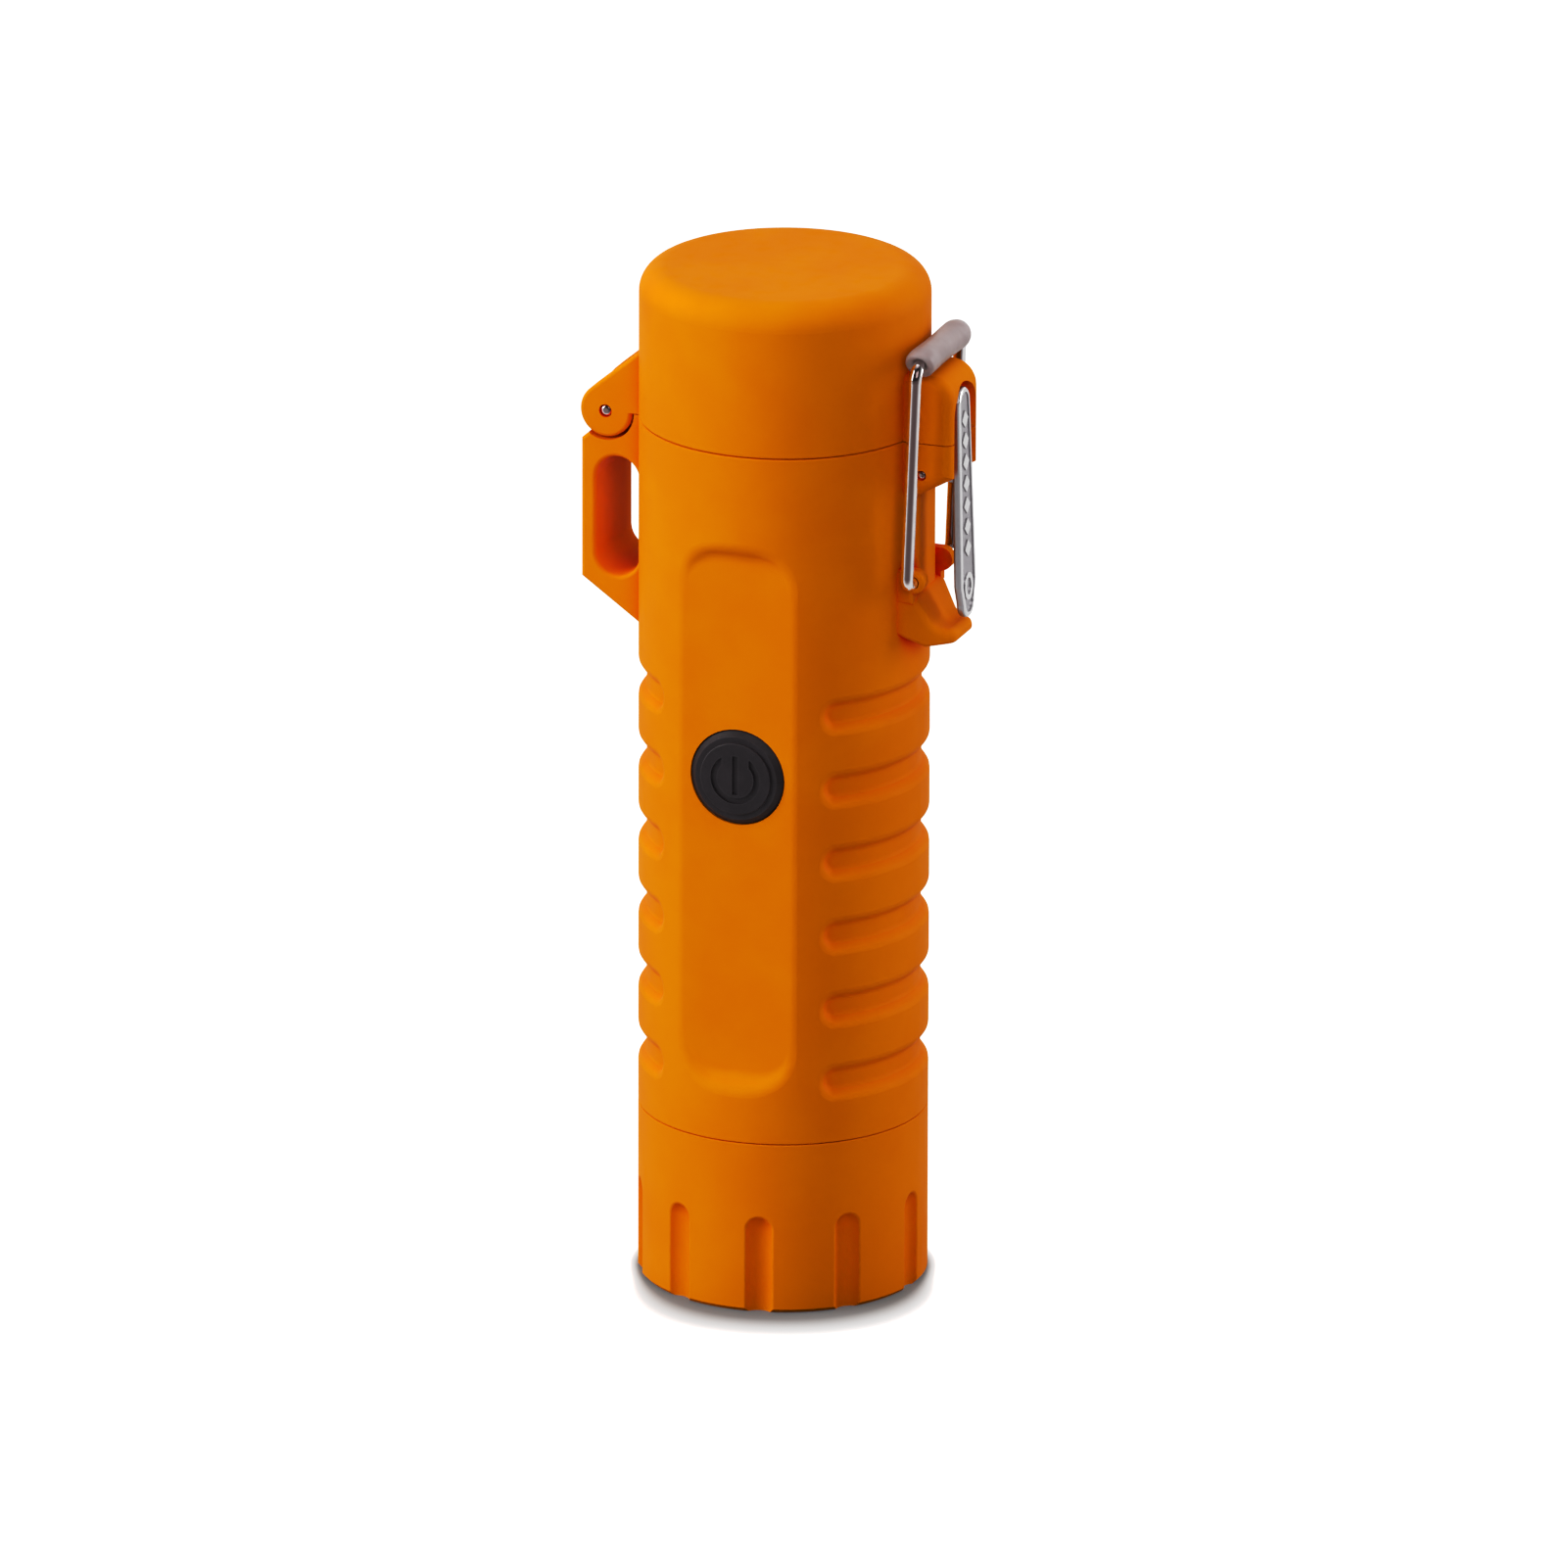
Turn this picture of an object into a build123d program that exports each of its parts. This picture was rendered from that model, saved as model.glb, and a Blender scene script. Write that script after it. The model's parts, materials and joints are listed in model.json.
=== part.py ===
from build123d import *
import math
import os

# Pocket arc lighter with a torch in its base, in millimetres.
# The origin is the centre of the base ring, +Z runs up through the lid.
# +X points at the latch, -X at the lid hinge and -Y at the push button.

LOW = (Align.CENTER, Align.CENTER, Align.MIN)
CORNER = (Align.MIN, Align.MIN, Align.MIN)

# Case
BODY_R = 14.0
TOTAL_HEIGHT = 101.5
LID_SEAM_Z = 86.4
HEAD_SEAM_Z = 17.2
SEAM_GAP = 0.1
BORE_R = 11.8
SPIGOT_R = 12.4
SPIGOT_BORE_R = 10.9
SPIGOT_LOW_Z = 5.05
BORE_FLOOR_Z = 17.6
RUNNING_GAP = 0.05
BODY_LOW_Z = HEAD_SEAM_Z + SEAM_GAP / 2
BODY_TOP_Z = LID_SEAM_Z - SEAM_GAP / 2
LID_LOW_Z = LID_SEAM_Z + SEAM_GAP / 2
HEAD_TOP_Z = HEAD_SEAM_Z - SEAM_GAP / 2
SEAM_EDGE = 0.12
HEAD_SEAM_EDGE = 0.06
TOUCH = 0.02
STEEP = 0.95

# Flat panels, front and back
PANEL_DISTANCE = 12.75
PANEL_WIDTH = 12.0
PANEL_LOW_Z = 23.6
PANEL_HIGH_Z = 75.9
PANEL_CORNER_R = 4.0
PANEL_SLOPE = 45
PANEL_FLOOR_R = 1.4
PANEL_EDGE_R = 1.5

# Grip grooves, one set round each side
GROOVE_COUNT = 6
GROOVE_LOW_Z = 23.3
GROOVE_PITCH = 7.4
GROOVE_HALF_ARC = 48
GROOVE_FLOOR_R = 13.2
GROOVE_FLOOR_HALF = 0.8
GROOVE_MOUTH_R = 14.8
GROOVE_MOUTH_HALF = 2.6
GROOVE_FLOOR_BLEND_R = 0.5
GROOVE_EDGE_R = 0.8

# Lid
LID_BORE_R = 12.5
LID_ROOF_Z = 99.6
LID_RIM_R = 2.6
LINER_LOW_Z = 91.8
LINER_WALL = 0.9

# Lid hinge
HINGE_X = -16.5
HINGE_Z = 86.4
EAR_R = 2.63
EAR_OUTER_Y = 5.0
EAR_INNER_Y = 2.4
KNUCKLE_R = 2.4
KNUCKLE_HALF_Y = 2.3
CRADLE_GAP = 0.3
HINGE_PIN_R = 0.6
PIN_INSET = 0.1
PIN_END_R = 0.35
EAR_ROOT = (-13.1, 92.7)

# Lanyard bracket under the hinge
BRACKET_X = -19.0
BRACKET_SHOULDER_Z = 83.4
BRACKET_KNEE_Z = 69.5
BRACKET_FOOT = (-13.0, 65.3)
LANYARD_OUTER_X = -17.5
LANYARD_INNER_X = -13.1
LANYARD_LOW_Z = 69.9
LANYARD_HIGH_Z = 81.9
BRACKET_EDGE_R = 0.4
BRACKET_BEVEL = (1.0, 0.9)
KNUCKLE_ROOT_Z = 82.7
INSIDE_WALL_X = 12.6

# Latch lug, block, web and boss
LUG_X = 18.4
LUG_HALF_Y = 3.8
LUG_TOP_Z = 93.15
LUG_CORNER_R = 2.5
LUG_EDGE_R = 1.0
BLOCK_LOW_Z = 83.0
WEB_X = 14.6
WEB_HALF_Y = 2.6
WEB_TOP_Z = 80.85
WEB_LOW_Z = 70.7
WEB_EDGE_R = 0.6
BLOCK_FOOT_Z = 80.0
BOSS_X = 18.4
BOSS_TOP_Z = 71.2
BOSS_SLOPE_FOOT = (16.6, 67.6)
BOSS_LOW_Z = 66.3
BOSS_FOOT = (15.6, 65.9)
BOSS_ROOT_Z = 67.4
BOSS_HALF_Y = 4.6
BOSS_SHOULDER_X = 13.6
BOSS_SHOULDER_R = 3.0
BOSS_END_HALF_Y = 2.6
BOSS_END_R = 1.0
BOSS_KINK_R = 1.5
BOSS_TOP_EDGE_R = 0.8
BOSS_LOW_EDGE_R = 0.4

# Latch plate
PLATE_HALF_WIDTH = 2.1
PLATE_TOP_HALF_WIDTH = 1.6
PLATE_THICKNESS = 0.85
PLATE_TOP = (18.3, 91.3)
PLATE_LOW = (18.95, 68.3)
PLATE_END_HALF_WIDTH = 1.5
PLATE_TAPER_LENGTH = 3.4
PLATE_RIM = 0.5
PLATE_RELIEF = 0.15
PLATE_EDGE_R = 0.3
RECESS_HALF_Y = 3.0
RECESS_X = 17.3
RECESS_TOP_Z = 91.8
LATCH_X = 15.3
LATCH_Z = 83.2
LATCH_PIN_R = 0.5
LATCH_EAR_R = 1.05
LATCH_EAR_INNER_Y = 1.1
LATCH_EAR_OUTER_Y = 1.6
POCKET_X = 13.9
POCKET_HALF_Y = 1.8
POCKET_TOP_Z = 85.4
HOOK_TIP_X = 16.95
HOOK_LOW_Z = 88.2
HOOK_TOP_Z = 89.4
HOOK_HALF_Y = 1.2
HOOK_CLEARANCE = 0.2
SPRING_COIL_R = 0.92
SPRING_WIRE_R = 0.13
SPRING_PITCH = 0.34
SPRING_LENGTH = 1.36
SPRING_LEG = 1.4
LOZENGE_COUNT = 7
LOZENGE_PITCH = 2.15
LOZENGE_HALF_WIDTH = 0.8
LOZENGE_HALF_HEIGHT = 0.85
LOZENGE_TOP_MARGIN = 3.2
EYE_MARGIN = 3.1
EYE_HALF_WIDTH = 1.1
EYE_HALF_HEIGHT = 1.35
EYE_BAND = 0.5

# Wire bail
BAIL_X = 14.75
BAIL_Z = 72.6
BAIL_TOP = (15.6, 94.85)
BAIL_HALF_SPAN = 6.1
BAIL_WIRE_R = 0.6
BAIL_FOOT_Y = 4.0
BAIL_FOOT_GAP = 0.1
BAIL_FOOT_BEND_R = 0.9
BAIL_TOP_BEND_R = 1.6
BAIL_EAR_R = 1.15
BAIL_EAR_EDGE_R = 0.3
BAIL_EAR_INNER_Y = 3.3
SLEEVE_R = 1.5
SLEEVE_WRAP = 30

# Push button
BUTTON_Z = 53.8
BUTTON_R = 4.7
BUTTON_FACE_Y = -13.15
BUTTON_CROWN = 0.25
BUTTON_CROWN_R = 3.6
BUTTON_CROWN_EDGE_R = 0.12
BUTTON_BEVEL = 0.55
BUTTON_SKIRT_Y = -10.35
BUTTON_FLANGE_R = 5.4
BUTTON_BACK_Y = -9.95
ICON_DEPTH = 0.22
ICON_RING_R = 2.5
ICON_STROKE = 0.6
ICON_GAP_HALF_WIDTH = 1.4
ICON_BAR_TOP = 2.3
ICON_BAR_LENGTH = 3.9

# Torch head and optics
FLUTE_COUNT = 10
FLUTE_START = -79
FLUTE_R = 1.5
FLUTE_TOP_Z = 9.9
FLUTE_AXIS = 14.65
FLUTE_EDGE_R = 0.25
BASE_EDGE = 0.4
LIP_R = 11.2
LENS_R = 12.2
LENS_LOW_Z = 1.6
LENS_TOP_Z = 3.4
GASKET_TOP_Z = 4.2
FLANGE_TOP_Z = 5.0
HEAD_BORE_R = SPIGOT_R + RUNNING_GAP
REFLECTOR_TOP_Z = 12.4
REFLECTOR_MOUTH_R = 10.8
REFLECTOR_NECK_R = 3.6
REFLECTOR_WALL = 0.6
BOWL_MIDDLE = (0.74, 8.6)
BACK_MIDDLE = (0.8, 8.9)
LED_BOARD_LOW_Z = 13.4
LED_BOARD_TOP_Z = 14.5
SPREADER_TOP_Z = 17.4
LED_BOARD_R = 9.8
LED_BASE_LOW_Z = 12.7
LED_WIDTH = 3.5
LED_DOME_R = 1.5
LEAD_X = 2.0
LEAD_Y = -7.55
LEAD_CLEARANCE = 0.15
LEAD_END_GAP = 0.05
O_RING_R = 0.7

# Core: neck, arc head, chassis and electronics
NECK_R = 11.45
NECK_WALL_R = 10.2
NECK_LOW_Z = 80.0
DECK_LOW_Z = 88.6
DECK_TOP_Z = 91.0
NECK_O_RING_Z = 88.0
NECK_O_RING_REACH = 12.4
ARC_BASE_R = 5.9
ARC_HEAD_R = 7.0
ARC_TOP_Z = 94.6
ARC_FLOOR_Z = 92.6
ELECTRODE_R = 0.55
ELECTRODE_OFFSET = 2.3
ELECTRODE_TOP_Z = 94.0
ELECTRODE_LOW_Z = 85.4
ELECTRODE_TIP_R = 0.3
TROUGH_WIDTH = 2.4
ARC_BASE_LOW_Z = 87.0
TOP_BEVEL = 0.45
PORT_HALF_X = 3.7
PORT_LOW_Y = -10.3
PORT_HIGH_Y = -7.9
PORT_WALL = 0.3
PORT_LOW_Z = 85.6
PORT_FLOOR_Z = 86.4
PORT_CORNER_R = 0.6
TONGUE_HALF_X = 2.6
TONGUE_HALF_Y = 0.3
TONGUE_DEPTH = 0.6
FRAME_LOW_Z = 17.9
FRAME_FLOOR_Z = 19.4
FRAME_ROOF_Z = 78.2
FRAME_TOP_Z = 79.9
FRAME_R = 11.6
FRAME_WINDOW_R = 6.4
RAIL_INNER_X = 6.2
RAIL_OUTER_X = 9.9
RAIL_LOW_Y = -6.0
RAIL_HIGH_Y = -2.2
BOARD_HALF_X = 8.0
BOARD_FRONT_Y = -7.0
BOARD_LOW_Z = 20.5
BOARD_TOP_Z = 77.4
BOARD_SCREW_X = 7.0
BOARD_SCREW_LEVELS = (24.0, 74.0)
BOARD_HEAD_R = 1.3
BOARD_HEAD_HEIGHT = 0.8
CELL_R = 7.0
CELL_Y = 4.2
CELL_LOW_Z = 20.0
CELL_TOP_Z = 63.0
CELL_EDGE_R = 0.5
CELL_CAP_R = 2.6
CELL_CAP_HEIGHT = 0.8
TAB_HALF_WIDTH = 1.8
TAB_THICKNESS = 0.2
TAB_LENGTH = 4.0
COIL_LOW_Z = 64.5
COIL_TOP_Z = 76.5
COIL_HALF_X = 6.0
COIL_LOW_Y = -1.5
COIL_HIGH_Y = 8.8
BOBBIN_FLANGE = 1.6
WINDING_R = 4.6
SCREW_R = 0.75
FRAME_SCREW_X = 9.2
FRAME_SCREW_TOP_Z = 84.4
FRAME_HEAD_R = 1.5
FRAME_HEAD_HEIGHT = 1.1
NECK_BOSS_R = 1.8
SWITCH_FRONT_Y = -9.0
STEM_FRONT_Y = -9.9
STEM_BACK_Y = -8.5
STEM_R = 1.6
STEM_WELL_Y = -7.7
SWITCH_HALF = 3.1
LEAD_R = 0.45


def disc(radius, z_low, z_high, x=0, y=0):
    """Upright round bar."""
    return Pos(x, y, z_low) * Cylinder(radius, z_high - z_low, align=LOW)


def tube(outer_r, inner_r, z_low, z_high):
    """Upright ring about the main axis."""
    return disc(outer_r, z_low, z_high) - disc(inner_r, z_low, z_high)


def block(x_low, x_high, y_low, y_high, z_low, z_high):
    """Box between two corners."""
    size = (x_high - x_low, y_high - y_low, z_high - z_low)
    return Pos(x_low, y_low, z_low) * Box(*size, align=CORNER)


def cross_rod(radius, x, z, y_low, y_high):
    """Round bar that lies along Y."""
    return Pos(x, y_low, z) * Rot(-90, 0, 0) * Cylinder(radius, y_high - y_low, align=LOW)


def side_profile(points, half_width):
    """Outline in X and Z, made solid equally far to both sides of the XZ plane."""
    return extrude(Plane.XZ * make_face(Polyline(*points, close=True)), half_width, both=True)


def mirrored_pair(solid):
    """The solid with its mirror image across the XZ plane."""
    return [solid, mirror(solid, about=Plane.XZ)]


def soft_profile(face, half_width, edge_r, sharp_z):
    """Outline made solid across Y, its flank edges rounded except at the wall and at one level."""
    solid = extrude(Plane.XZ * face, half_width, both=True)
    edges = [edge for edge in solid.edges()
             if abs(abs(edge.center().Y) - half_width) < TOUCH
             and abs(edge.center().X) > INSIDE_WALL_X + TOUCH
             and abs(edge.center().Z - sharp_z) > TOUCH]
    return fillet(edges, edge_r)


def surface_edges(solid, z_low, z_high):
    """Edges on the case's outer cylinder between two levels, without the cylinder's own seam line."""
    middles = [(edge, edge @ 0.5) for edge in solid.edges()]
    return [edge for edge, middle in middles
            if abs(math.hypot(middle.X, middle.Y) - BODY_R) < TOUCH and z_low < middle.Z < z_high
            and (abs(middle.Y) > TOUCH or edge.geom_type != GeomType.LINE)]


def panel_cutter(side):
    """Shallow flat with sloped ends; side is -1 for the front and 1 for the back."""
    middle_z = (PANEL_LOW_Z + PANEL_HIGH_Z) / 2
    plane = Plane((0, side * PANEL_DISTANCE, middle_z), x_dir=(-side, 0, 0), z_dir=(0, side, 0))
    outline = RectangleRounded(PANEL_WIDTH, PANEL_HIGH_Z - PANEL_LOW_Z, PANEL_CORNER_R)
    cutter = extrude(plane * outline, BODY_R - PANEL_DISTANCE + 1, taper=-PANEL_SLOPE)
    floor = [edge for edge in cutter.edges() if abs(abs((edge @ 0.5).Y) - PANEL_DISTANCE) < TOUCH]
    return fillet(floor, PANEL_FLOOR_R)


def groove_cutter(z, facing):
    """One grip groove round a side; facing turns it to the latch side (0) or the hinge side."""
    section = Polyline((GROOVE_FLOOR_R, -GROOVE_FLOOR_HALF), (GROOVE_MOUTH_R, -GROOVE_MOUTH_HALF),
                       (GROOVE_MOUTH_R, GROOVE_MOUTH_HALF), (GROOVE_FLOOR_R, GROOVE_FLOOR_HALF),
                       close=True)
    arc = revolve(Plane.XZ * make_face(section), Axis.Z, 2 * GROOVE_HALF_ARC)
    cutter = Rot(0, 0, -GROOVE_HALF_ARC) * arc
    depth = GROOVE_MOUTH_R - GROOVE_FLOOR_R
    end = Cone(GROOVE_FLOOR_HALF, GROOVE_MOUTH_HALF, depth, align=LOW)
    for angle in (-GROOVE_HALF_ARC, GROOVE_HALF_ARC):
        cutter += Rot(0, 0, angle) * Pos(GROOVE_FLOOR_R, 0, 0) * Rot(0, 90, 0) * end
    middles = [(edge, edge @ 0.5) for edge in cutter.edges()]
    floor = [edge for edge, middle in middles
             if math.hypot(middle.X, middle.Y) < GROOVE_FLOOR_R + GROOVE_FLOOR_HALF / 10]
    return Pos(0, 0, z) * Rot(0, 0, facing) * fillet(floor, GROOVE_FLOOR_BLEND_R)


def plain_case():
    """Outer cylinder of the body with its panels and grip grooves."""
    case = disc(BODY_R, BODY_LOW_Z, BODY_TOP_Z)
    case -= [panel_cutter(side) for side in (-1, 1)]
    case = fillet(surface_edges(case, BODY_LOW_Z + 1, BODY_TOP_Z - 1), PANEL_EDGE_R)
    levels = [GROOVE_LOW_Z + GROOVE_PITCH * row for row in range(GROOVE_COUNT)]
    for z in levels:
        case -= [groove_cutter(z, facing) for facing in (0, 180)]
        mouths = [edge for edge in surface_edges(case, z - GROOVE_MOUTH_HALF, z + GROOVE_MOUTH_HALF)
                  if abs((edge @ 0.5).X) > BODY_R / 2]
        case = fillet(mouths, GROOVE_EDGE_R)
    case = chamfer(case.edges().group_by(Axis.Z)[0], HEAD_SEAM_EDGE)
    return chamfer(case.edges().group_by(Axis.Z)[-1], SEAM_EDGE)


def lanyard_bracket():
    """Loop below the hinge, its cradle under the lid's ears and its knuckle between them."""
    bevel_x = BRACKET_X + BRACKET_BEVEL[0]
    outline = [(-INSIDE_WALL_X, BODY_TOP_Z), (bevel_x, BODY_TOP_Z),
               (bevel_x, BRACKET_SHOULDER_Z + BRACKET_BEVEL[1]), (BRACKET_X, BRACKET_SHOULDER_Z),
               (BRACKET_X, BRACKET_KNEE_Z), BRACKET_FOOT, (-INSIDE_WALL_X, BRACKET_FOOT[1])]
    slot_width = LANYARD_INNER_X - LANYARD_OUTER_X
    slot_height = LANYARD_HIGH_Z - LANYARD_LOW_Z
    slot_x = (LANYARD_OUTER_X + LANYARD_INNER_X) / 2
    slot_place = Pos(slot_x, (LANYARD_LOW_Z + LANYARD_HIGH_Z) / 2) * Rot(0, 0, 90)
    face = make_face(Polyline(*outline, close=True)) - slot_place * SlotOverall(slot_height, slot_width)
    bracket = soft_profile(face, EAR_OUTER_Y, BRACKET_EDGE_R, BODY_TOP_Z)
    cradle = cross_rod(EAR_R + CRADLE_GAP, HINGE_X, HINGE_Z, -EAR_OUTER_Y - 1, EAR_OUTER_Y + 1)
    bracket -= cradle
    knuckle = cross_rod(KNUCKLE_R, HINGE_X, HINGE_Z, -KNUCKLE_HALF_Y, KNUCKLE_HALF_Y)
    neck = block(HINGE_X - KNUCKLE_R, -INSIDE_WALL_X, -KNUCKLE_HALF_Y, KNUCKLE_HALF_Y,
                 KNUCKLE_ROOT_Z, BODY_TOP_Z)
    return bracket + knuckle + neck


def latch_recess():
    """Sunken bed for the latch plate in the lug and the block under it."""
    bed = block(RECESS_X, LUG_X + 1, -RECESS_HALF_Y, RECESS_HALF_Y,
                BLOCK_LOW_Z - 3, RECESS_TOP_Z - RECESS_HALF_Y)
    top = Plane.YZ * Pos(0, RECESS_TOP_Z - RECESS_HALF_Y) * Circle(RECESS_HALF_Y)
    return bed + Pos(RECESS_X, 0, 0) * extrude(top, LUG_X + 1 - RECESS_X)


def latch_block():
    """Block below the seam that holds the latch pin."""
    outline = [(INSIDE_WALL_X, BODY_TOP_Z), (LUG_X, BODY_TOP_Z), (LUG_X, BLOCK_LOW_Z),
               (WEB_X, WEB_TOP_Z), (INSIDE_WALL_X, BLOCK_FOOT_Z)]
    face = make_face(Polyline(*outline, close=True))
    body = soft_profile(face, LUG_HALF_Y, LUG_EDGE_R, BODY_TOP_Z)
    pocket = block(POCKET_X, LUG_X + 1, -POCKET_HALF_Y, POCKET_HALF_Y, WEB_TOP_Z, POCKET_TOP_Z)
    pin_hole = cross_rod(LATCH_PIN_R, LATCH_X, LATCH_Z, -LUG_HALF_Y - 1, LUG_HALF_Y + 1)
    return body - latch_recess() - pocket - pin_hole


def bail_boss():
    """Lump at the foot of the web that narrows outward; its top slopes down under the plate's foot."""
    outline = [(INSIDE_WALL_X, BOSS_TOP_Z), (WEB_X, BOSS_TOP_Z), BOSS_SLOPE_FOOT,
               (BOSS_X, BOSS_SLOPE_FOOT[1]), (BOSS_X, BOSS_LOW_Z), BOSS_FOOT, (INSIDE_WALL_X, BOSS_ROOT_Z)]
    half_plan = [(INSIDE_WALL_X, BOSS_HALF_Y), (BOSS_SHOULDER_X, BOSS_HALF_Y), (BOSS_X, BOSS_END_HALF_Y)]
    other_half = [(x, -y) for x, y in reversed(half_plan)]
    plan = make_face(Polyline(*half_plan, *other_half, close=True))
    plan = fillet([corner for corner in plan.vertices() if abs(corner.X - BOSS_X) < TOUCH], BOSS_END_R)
    plan = fillet([corner for corner in plan.vertices() if abs(corner.X - BOSS_SHOULDER_X) < TOUCH],
                  BOSS_SHOULDER_R)
    pillar = Pos(0, 0, BOSS_FOOT[1]) * extrude(plan, BOSS_TOP_Z - BOSS_FOOT[1])
    boss = side_profile(outline, BOSS_HALF_Y) & pillar
    kinks = [edge for edge in boss.edges()
             if abs(edge.center().Y) < TOUCH and edge.center().Z > BOSS_ROOT_Z
             and INSIDE_WALL_X + TOUCH < edge.center().X < BOSS_X - TOUCH]
    boss = fillet(kinks, BOSS_KINK_R)
    boss = fillet([edge for edge in boss_rims(boss) if edge.center().Z > BOSS_ROOT_Z], BOSS_TOP_EDGE_R)
    sole = [edge for edge in boss_rims(boss) if edge.center().Z < BOSS_LOW_Z + BOSS_LOW_EDGE_R / 2]
    return fillet(sole, BOSS_LOW_EDGE_R)


def boss_rims(boss):
    """Edges of the boss outside the barrel that run along its flanks, not up them."""
    return [edge for edge in boss.edges()
            if math.hypot(edge.center().X, edge.center().Y) > BODY_R - BOSS_LOW_EDGE_R
            and abs(edge.center().Y) > TOUCH and edge.bounding_box().size.Z < STEEP * edge.length]


def bail_ears():
    """Two small ears above the boss, each with a blind hole for one foot of the bail."""
    ear = block(INSIDE_WALL_X, BAIL_X, BAIL_EAR_INNER_Y, BOSS_HALF_Y,
                BOSS_TOP_Z - BOSS_TOP_EDGE_R, BAIL_Z + BAIL_EAR_R)
    ear += cross_rod(BAIL_EAR_R, BAIL_X, BAIL_Z, BAIL_EAR_INNER_Y, BOSS_HALF_Y)
    ear = fillet(ear.faces().sort_by(Axis.Y)[-1].edges().sort_by(Axis.X)[1:], BAIL_EAR_EDGE_R)
    ear -= cross_rod(BAIL_WIRE_R + RUNNING_GAP, BAIL_X, BAIL_Z, BAIL_FOOT_Y - BAIL_FOOT_GAP, BOSS_HALF_Y + 1)
    return mirrored_pair(ear)


def latch_web():
    """Low rounded rib that joins block and boss behind the open window."""
    web = block(INSIDE_WALL_X, WEB_X, -WEB_HALF_Y, WEB_HALF_Y, WEB_LOW_Z, WEB_TOP_Z)
    return fillet(web.faces().sort_by(Axis.X)[-1].edges().filter_by(Axis.Z), WEB_EDGE_R)


def body_shell():
    """The main case, hollow from end to end."""
    shell = plain_case() + lanyard_bracket() + latch_block() + latch_web() + bail_boss() + bail_ears()
    shell += disc(SPIGOT_R, SPIGOT_LOW_Z, BODY_LOW_Z + 1)
    shell -= disc(BORE_R, BORE_FLOOR_Z, BODY_TOP_Z + 1)
    shell -= disc(SPIGOT_BORE_R, SPIGOT_LOW_Z - 1, BORE_FLOOR_Z)
    shell -= cross_rod(BUTTON_R + 2 * RUNNING_GAP, 0, BUTTON_Z, -BODY_R - 1, -BORE_R / 2)
    shell -= cross_rod(HINGE_PIN_R, HINGE_X, HINGE_Z, -EAR_OUTER_Y, EAR_OUTER_Y)
    groove_z = (SPIGOT_LOW_Z + BODY_LOW_Z) / 2
    return shell - o_ring(SPIGOT_R - O_RING_R + RUNNING_GAP, groove_z)


def o_ring(centre_r, z):
    """Round-section seal about the main axis."""
    return Pos(0, 0, z) * Torus(centre_r, O_RING_R)


def head_o_ring():
    """Seal between the body's spigot and the torch head."""
    return o_ring(SPIGOT_R - O_RING_R + RUNNING_GAP, (SPIGOT_LOW_Z + BODY_LOW_Z) / 2)


def neck_o_ring():
    """Seal between the neck and the closed lid."""
    return o_ring(NECK_O_RING_REACH - O_RING_R, NECK_O_RING_Z)


def hinge_pin():
    """Pin pressed into the body's knuckle; the lid's ears turn on its domed ends."""
    pin = cross_rod(HINGE_PIN_R, HINGE_X, HINGE_Z, -EAR_OUTER_Y + PIN_INSET, EAR_OUTER_Y - PIN_INSET)
    return fillet(pin.edges().filter_by(GeomType.CIRCLE), PIN_END_R)


def lid_ears():
    """Two ears that carry the lid on the hinge pin, each with a straight back."""
    root_x = EAR_ROOT[0] - HINGE_X
    root_z = EAR_ROOT[1] - HINGE_Z
    tangent = math.atan2(root_z, root_x) + math.acos(EAR_R / math.hypot(root_x, root_z))
    touch = (HINGE_X + EAR_R * math.cos(tangent), HINGE_Z + EAR_R * math.sin(tangent))
    slope = (EAR_ROOT[1] - touch[1]) / (EAR_ROOT[0] - touch[0])
    inside_z = EAR_ROOT[1] + slope * (-INSIDE_WALL_X - EAR_ROOT[0])
    outline = [(HINGE_X, LID_LOW_Z), touch, (-INSIDE_WALL_X, inside_z), (-INSIDE_WALL_X, LID_LOW_Z)]
    face = make_face(Polyline(*outline, close=True)) + Pos(HINGE_X, HINGE_Z) * Circle(EAR_R)
    ears = soft_profile(face, EAR_OUTER_Y, BRACKET_EDGE_R, LID_LOW_Z)
    ears -= block(HINGE_X - EAR_R - 1, -INSIDE_WALL_X, -EAR_INNER_Y, EAR_INNER_Y,
                  HINGE_Z - EAR_R - 1, inside_z + 1)
    hole_r = HINGE_PIN_R + RUNNING_GAP
    return ears - cross_rod(hole_r, HINGE_X, HINGE_Z, -EAR_OUTER_Y - 1, EAR_OUTER_Y + 1)


def lid_lug():
    """Lug on the lid that the latch plate's hook holds down."""
    top_corner = (LUG_X, LUG_TOP_Z)
    face = make_face(Polyline((INSIDE_WALL_X, LID_LOW_Z), (LUG_X, LID_LOW_Z), top_corner,
                              (INSIDE_WALL_X, LUG_TOP_Z), close=True))
    face = fillet(face.vertices().sort_by_distance(top_corner)[0], LUG_CORNER_R)
    lug = soft_profile(face, LUG_HALF_Y, LUG_EDGE_R, LID_LOW_Z)
    hook_pocket = block(HOOK_TIP_X - HOOK_CLEARANCE, LUG_X,
                        -HOOK_HALF_Y - HOOK_CLEARANCE, HOOK_HALF_Y + HOOK_CLEARANCE,
                        HOOK_LOW_Z - HOOK_CLEARANCE, HOOK_TOP_Z + 3 * HOOK_CLEARANCE)
    return lug - latch_recess() - hook_pocket


def cap_shell():
    """The lid's outer cup with its ears and lug."""
    shell = disc(BODY_R, LID_LOW_Z, TOTAL_HEIGHT)
    shell = fillet(shell.edges().group_by(Axis.Z)[-1], LID_RIM_R)
    shell = chamfer(shell.edges().group_by(Axis.Z)[0], SEAM_EDGE)
    shell += lid_ears() + lid_lug()
    return shell - disc(LID_BORE_R, LID_LOW_Z - 1, LID_ROOF_Z)


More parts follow.
